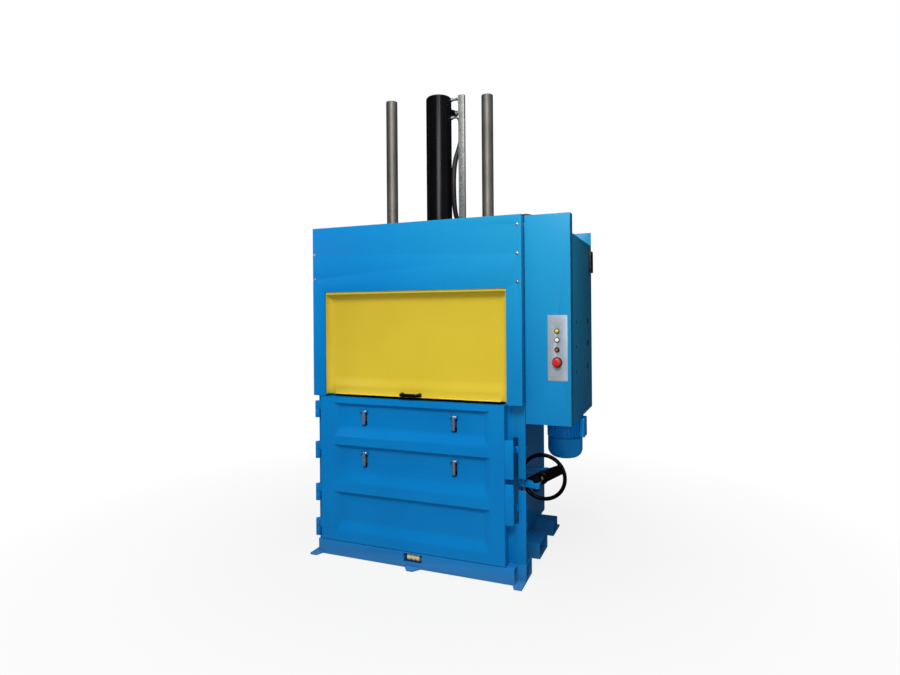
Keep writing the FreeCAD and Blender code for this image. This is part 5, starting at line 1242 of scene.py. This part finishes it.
@dataclass
class Drive:
    """The blue motor below the cabinet with its fan cover and terminal box."""

    cast_edge: float = 0.0007
    box_edge: float = 0.003
    round_r: float = 0.058
    sides: int = 96
    end: Rings = ((0.048, 0.0), (0.020, 0.0), (0.016, 0.0018), (0.002, 0.0018))   # from its round
    slots: int = 24
    slot_in: float = 0.024
    slot_out: float = 0.050
    wall: float = 0.0022

    def build(self) -> None:
        """Softens the cast stator and its terminal box, and makes the domed fan cover."""
        # the motor's enamel is a shade brighter as painted light, for the light that the cabinet
        # keeps off
        soft_copy("stator", PAINTED_LIGHT_ENAMEL, "frame", "motor_body", self.cast_edge)
        soft_copy("terminals", PAINTED_LIGHT_ENAMEL, "frame", "terminal_box", self.box_edge, rounds=3)
        self.fan_cover()

    def in_slot(self, face: bpy.types.MeshPolygon, centre: Point) -> bool:
        """Tells whether a facet of the cover's flat end belongs to an inlet slot.

        Args:
            face: the facet.
            centre: a point on the motor's axis.

        Returns:
            True for the facets that are cut out.
        """
        x, y = face.center.x - centre[0], face.center.y - centre[1]
        turn = math.degrees(math.atan2(y, x)) % (360.0 / self.slots)
        return (face.normal.z < -FACING and self.slot_in < math.hypot(x, y) < self.slot_out
                and turn < 180.0 / self.slots)

    def fan_cover(self) -> None:
        """Deep-drawn cover, open at its top, with a rounded end and inlet slots."""
        low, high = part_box("fan_cover")
        centre = (*middle_of("fan_cover")[:2], 0.0)
        radius = (high.x - low.x) / 2
        outline = domed([(radius, high.z), (radius, low.z + self.round_r)],
                        radius - self.round_r, -self.round_r, last=8)
        outline += [(wide, low.z + level) for wide, level in self.end]
        piece = Piece("fan_shell", PAINTED_LIGHT_ENAMEL, "frame")
        lump = piece.turned(outline, Axis.Z.at(centre), sides=self.sides)
        choose_faces(lump, lambda face: face.normal.z > FACING or self.in_slot(face, centre))
        with editing(lump):
            bpy.ops.mesh.delete(type="FACE")
        wall = lump.modifiers.new("wall", "SOLIDIFY")
        wall.thickness = self.wall
        wall.offset = -1.0
        bpy.ops.object.modifier_apply(modifier=wall.name)
        piece.done("fan_cover")


# ------------------------------------------------------------------ studio
@dataclass(frozen=True)
class Lamp:
    """One round lamp that is turned to the machine."""

    name: str
    place: tuple[float, float, float]
    width: float
    power: float
    aim: tuple[float, float, float] = (0.0, 0.0, 1.3)

    def hang(self) -> None:
        """Hangs the lamp in its place."""
        data = bpy.data.lights.new(self.name, "AREA")
        data.shape = "DISK"
        data.size = self.width
        data.energy = self.power
        lamp = linked(self.name, data)
        lamp.location = self.place
        way = Vector(self.aim) - Vector(self.place)
        lamp.rotation_euler = way.to_track_quat("-Z", "Y").to_euler()


@dataclass
class Studio:
    """A pale floor, plain soft light and the photograph's viewpoint."""

    eye: tuple[float, float, float] = (1.581, -3.747, 1.578)
    yaw: float = 21.93
    roll: float = -0.444
    lens: float = 23.256
    sensor: float = 36.0
    shift_y: float = -0.0264
    clip_end: float = 100.0
    floor_size: float = 60.0
    floor_colour: str = "#B8B8B8"
    floor_fade: tuple[float, float] = (1.1, 3.2)    # metres round the machine with its shadow
    floor_white: float = 0.85       # share of plain white nearest to the machine
    floor_gloss: float = 0.03       # brightness of the floor in gloss
    fill: float = 0.25              # the room's light from the left and from the right
    fill_side: float = 0.08
    fill_span: tuple[float, float] = (0.1, 0.8)
    bright_side: float = 74.0       # degrees from the front to the side that gloss shows bright
    bright_span: tuple[float, float] = (0.25, 0.97)
    gloss_low: float = 0.02
    roof_span: tuple[float, float] = (0.16, 0.42)
    roof: float = 0.45              # share of that brightness overhead
    window_rise: float = -3.0
    window_span: tuple[float, float] = (0.95, 0.99)
    window: float = 1.5
    lights: tuple[Lamp, ...] = (
        Lamp("key_lamp", (1.0, -3.7, 4.5), 2.0, 174.0),
        Lamp("side_lamp", (-3.6, -3.4, 2.4), 2.2, 10.0),
        Lamp("flash", (1.75, -3.8, 1.75), 0.3, 17.0),
        Lamp("edge_lamp", (-2.6, -1.05, 1.75), 0.5, 12.0),
        Lamp("top_lamp", (0.3, -1.3, 6.2), 2.0, 90.0))

    def build(self) -> None:
        """Sets the floor, the lamps, the world and the camera.

        The lamps are a soft key lamp at the front, weak ones to the left, a flash beside the
        camera and a lamp overhead.
        """
        self.floor()
        for lamp in self.lights:
            lamp.hang()
        self.world()
        self.camera()

    def floor(self) -> None:
        """Lays a floor that looks white, keeps the machine's soft shadow and is dim in gloss."""
        bpy.ops.mesh.primitive_plane_add(size=self.floor_size, location=(0.0, 0.0, 0.0))
        plane = bpy.context.active_object
        plane.name = "studio_floor"
        made = bpy.data.materials.new("matt white floor")
        tree = fresh_tree(made)
        path = add_node(tree, "ShaderNodeLightPath")
        dull = add_node(tree, "ShaderNodeMath", {"operation": "MULTIPLY", 1: self.floor_gloss},
                        {0: path.outputs["Is Glossy Ray"]})
        level = add_node(tree, "ShaderNodeMath", {"operation": "MAXIMUM"},
                         {0: path.outputs["Is Camera Ray"], 1: dull.outputs["Value"]})
        seen = add_node(tree, "ShaderNodeMath", {"operation": "MAXIMUM"},
                        {0: path.outputs["Is Camera Ray"], 1: path.outputs["Is Glossy Ray"]})
        matt = add_node(tree, "ShaderNodeBsdfDiffuse", {"Color": linear(self.floor_colour)})
        lit = add_node(tree, "ShaderNodeEmission", None, {"Strength": level.outputs["Value"]})
        place = add_node(tree, "ShaderNodeTexCoord")
        away = add_node(tree, "ShaderNodeVectorMath", {"operation": "LENGTH"},
                        {0: place.outputs["Object"]})
        fade = add_node(tree, "ShaderNodeMapRange",
                        {"From Min": self.floor_fade[0], "From Max": self.floor_fade[1],
                         "To Min": self.floor_white, "To Max": 1.0},
                        {"Value": away.outputs["Value"]})
        part = add_node(tree, "ShaderNodeMath", {"operation": "MULTIPLY"},
                        {0: seen.outputs["Value"], 1: fade.outputs["Result"]})
        mixed = add_node(tree, "ShaderNodeMixShader", None,
                         {0: part.outputs["Value"], 1: matt.outputs["BSDF"],
                          2: lit.outputs["Emission"]})
        add_node(tree, "ShaderNodeOutputMaterial", None, {"Surface": mixed.outputs["Shader"]})
        plane.data.materials.append(made)

    def heading(self, rise: float) -> tuple[float, float, float]:
        """The way to the bright side of the room.

        Args:
            rise: degrees above the level.

        Returns:
            A way of the length one.
        """
        turn, lift = math.radians(self.bright_side), math.radians(rise)
        return (math.sin(turn) * math.cos(lift), -math.cos(turn) * math.cos(lift),
                math.sin(lift))

    def world(self) -> None:
        """Fills the room with soft light.

        The eye sees plain white all round. Gloss sees a dim room with one bright side, and in
        that side a small window that streaks round steel.
        """
        made = bpy.data.worlds.new("studio")
        bpy.context.scene.world = made
        tree = fresh_tree(made)
        path = add_node(tree, "ShaderNodeLightPath")
        clear = add_node(tree, "ShaderNodeMath", {"operation": "MAXIMUM"},
                         {0: path.outputs["Is Camera Ray"],
                          1: path.outputs["Is Transmission Ray"]})
        way = add_node(tree, "ShaderNodeTexCoord").outputs["Generated"]
        parts = add_node(tree, "ShaderNodeSeparateXYZ", None, {"Vector": way})
        room = add_node(tree, "ShaderNodeMapRange",
                        {"From Min": self.fill_span[0], "From Max": self.fill_span[1],
                         "To Min": self.fill, "To Max": self.fill_side},
                        {"Value": parts.outputs["X"]})
        facing = add_node(tree, "ShaderNodeVectorMath",
                          {"operation": "DOT_PRODUCT", 1: self.heading(0.0)}, {0: way})
        across = add_node(tree, "ShaderNodeMapRange",
                          {"From Min": self.bright_span[0], "From Max": self.bright_span[1],
                           "To Min": self.gloss_low, "To Max": 1.0},
                          {"Value": facing.outputs["Value"]})
        upward = add_node(tree, "ShaderNodeMapRange",
                          {"From Min": self.roof_span[0], "From Max": self.roof_span[1],
                           "To Min": 1.0, "To Max": self.roof}, {"Value": parts.outputs["Z"]})
        sheen = add_node(tree, "ShaderNodeMath", {"operation": "MULTIPLY"},
                         {0: across.outputs["Result"], 1: upward.outputs["Result"]})
        near = add_node(tree, "ShaderNodeVectorMath",
                        {"operation": "DOT_PRODUCT", 1: self.heading(self.window_rise)},
                        {0: way})
        window = add_node(tree, "ShaderNodeMapRange",
                          {"interpolation_type": "SMOOTHSTEP", "From Min": self.window_span[0],
                           "From Max": self.window_span[1], "To Min": 0.0,
                           "To Max": self.window}, {"Value": near.outputs["Value"]})
        bright = add_node(tree, "ShaderNodeMath", {"operation": "ADD"},
                          {0: sheen.outputs["Value"], 1: window.outputs["Result"]})
        gloss = add_node(tree, "ShaderNodeMix", {"data_type": "FLOAT"},
                         {0: path.outputs["Is Glossy Ray"], 2: room.outputs["Result"],
                          3: bright.outputs["Value"]})
        level = add_node(tree, "ShaderNodeMix", {"data_type": "FLOAT", 3: 1.0},
                         {0: clear.outputs["Value"], 2: gloss.outputs[0]})
        sky = add_node(tree, "ShaderNodeBackground", {"Color": (1.0, 1.0, 1.0, 1.0)},
                       {"Strength": level.outputs[0]})
        add_node(tree, "ShaderNodeOutputWorld", None, {"Surface": sky.outputs["Background"]})

    def camera(self) -> None:
        """Stands the camera where the photograph was taken from."""
        data = bpy.data.cameras.new("view")
        data.sensor_fit = "HORIZONTAL"
        data.sensor_width = self.sensor
        data.lens = self.lens
        data.shift_y = self.shift_y
        data.clip_end = self.clip_end
        view = linked("view", data)
        view.matrix_world = (Matrix.Translation(self.eye) @ turn_about("Z", self.yaw)
                             @ turn_about("X", 90.0) @ turn_about("Z", self.roll))
        bpy.context.scene.camera = view


def main() -> None:
    """Builds the machine and its studio."""
    bpy.context.scene.view_settings.view_transform = "Standard"
    dress_nodes()
    for part in (Base(), Chamber(), Press(), Guard(), Door(), Lock(), Cabinet(), Drive()):
        part.build()
    Studio().build()


if __name__ == "__main__":
    main()
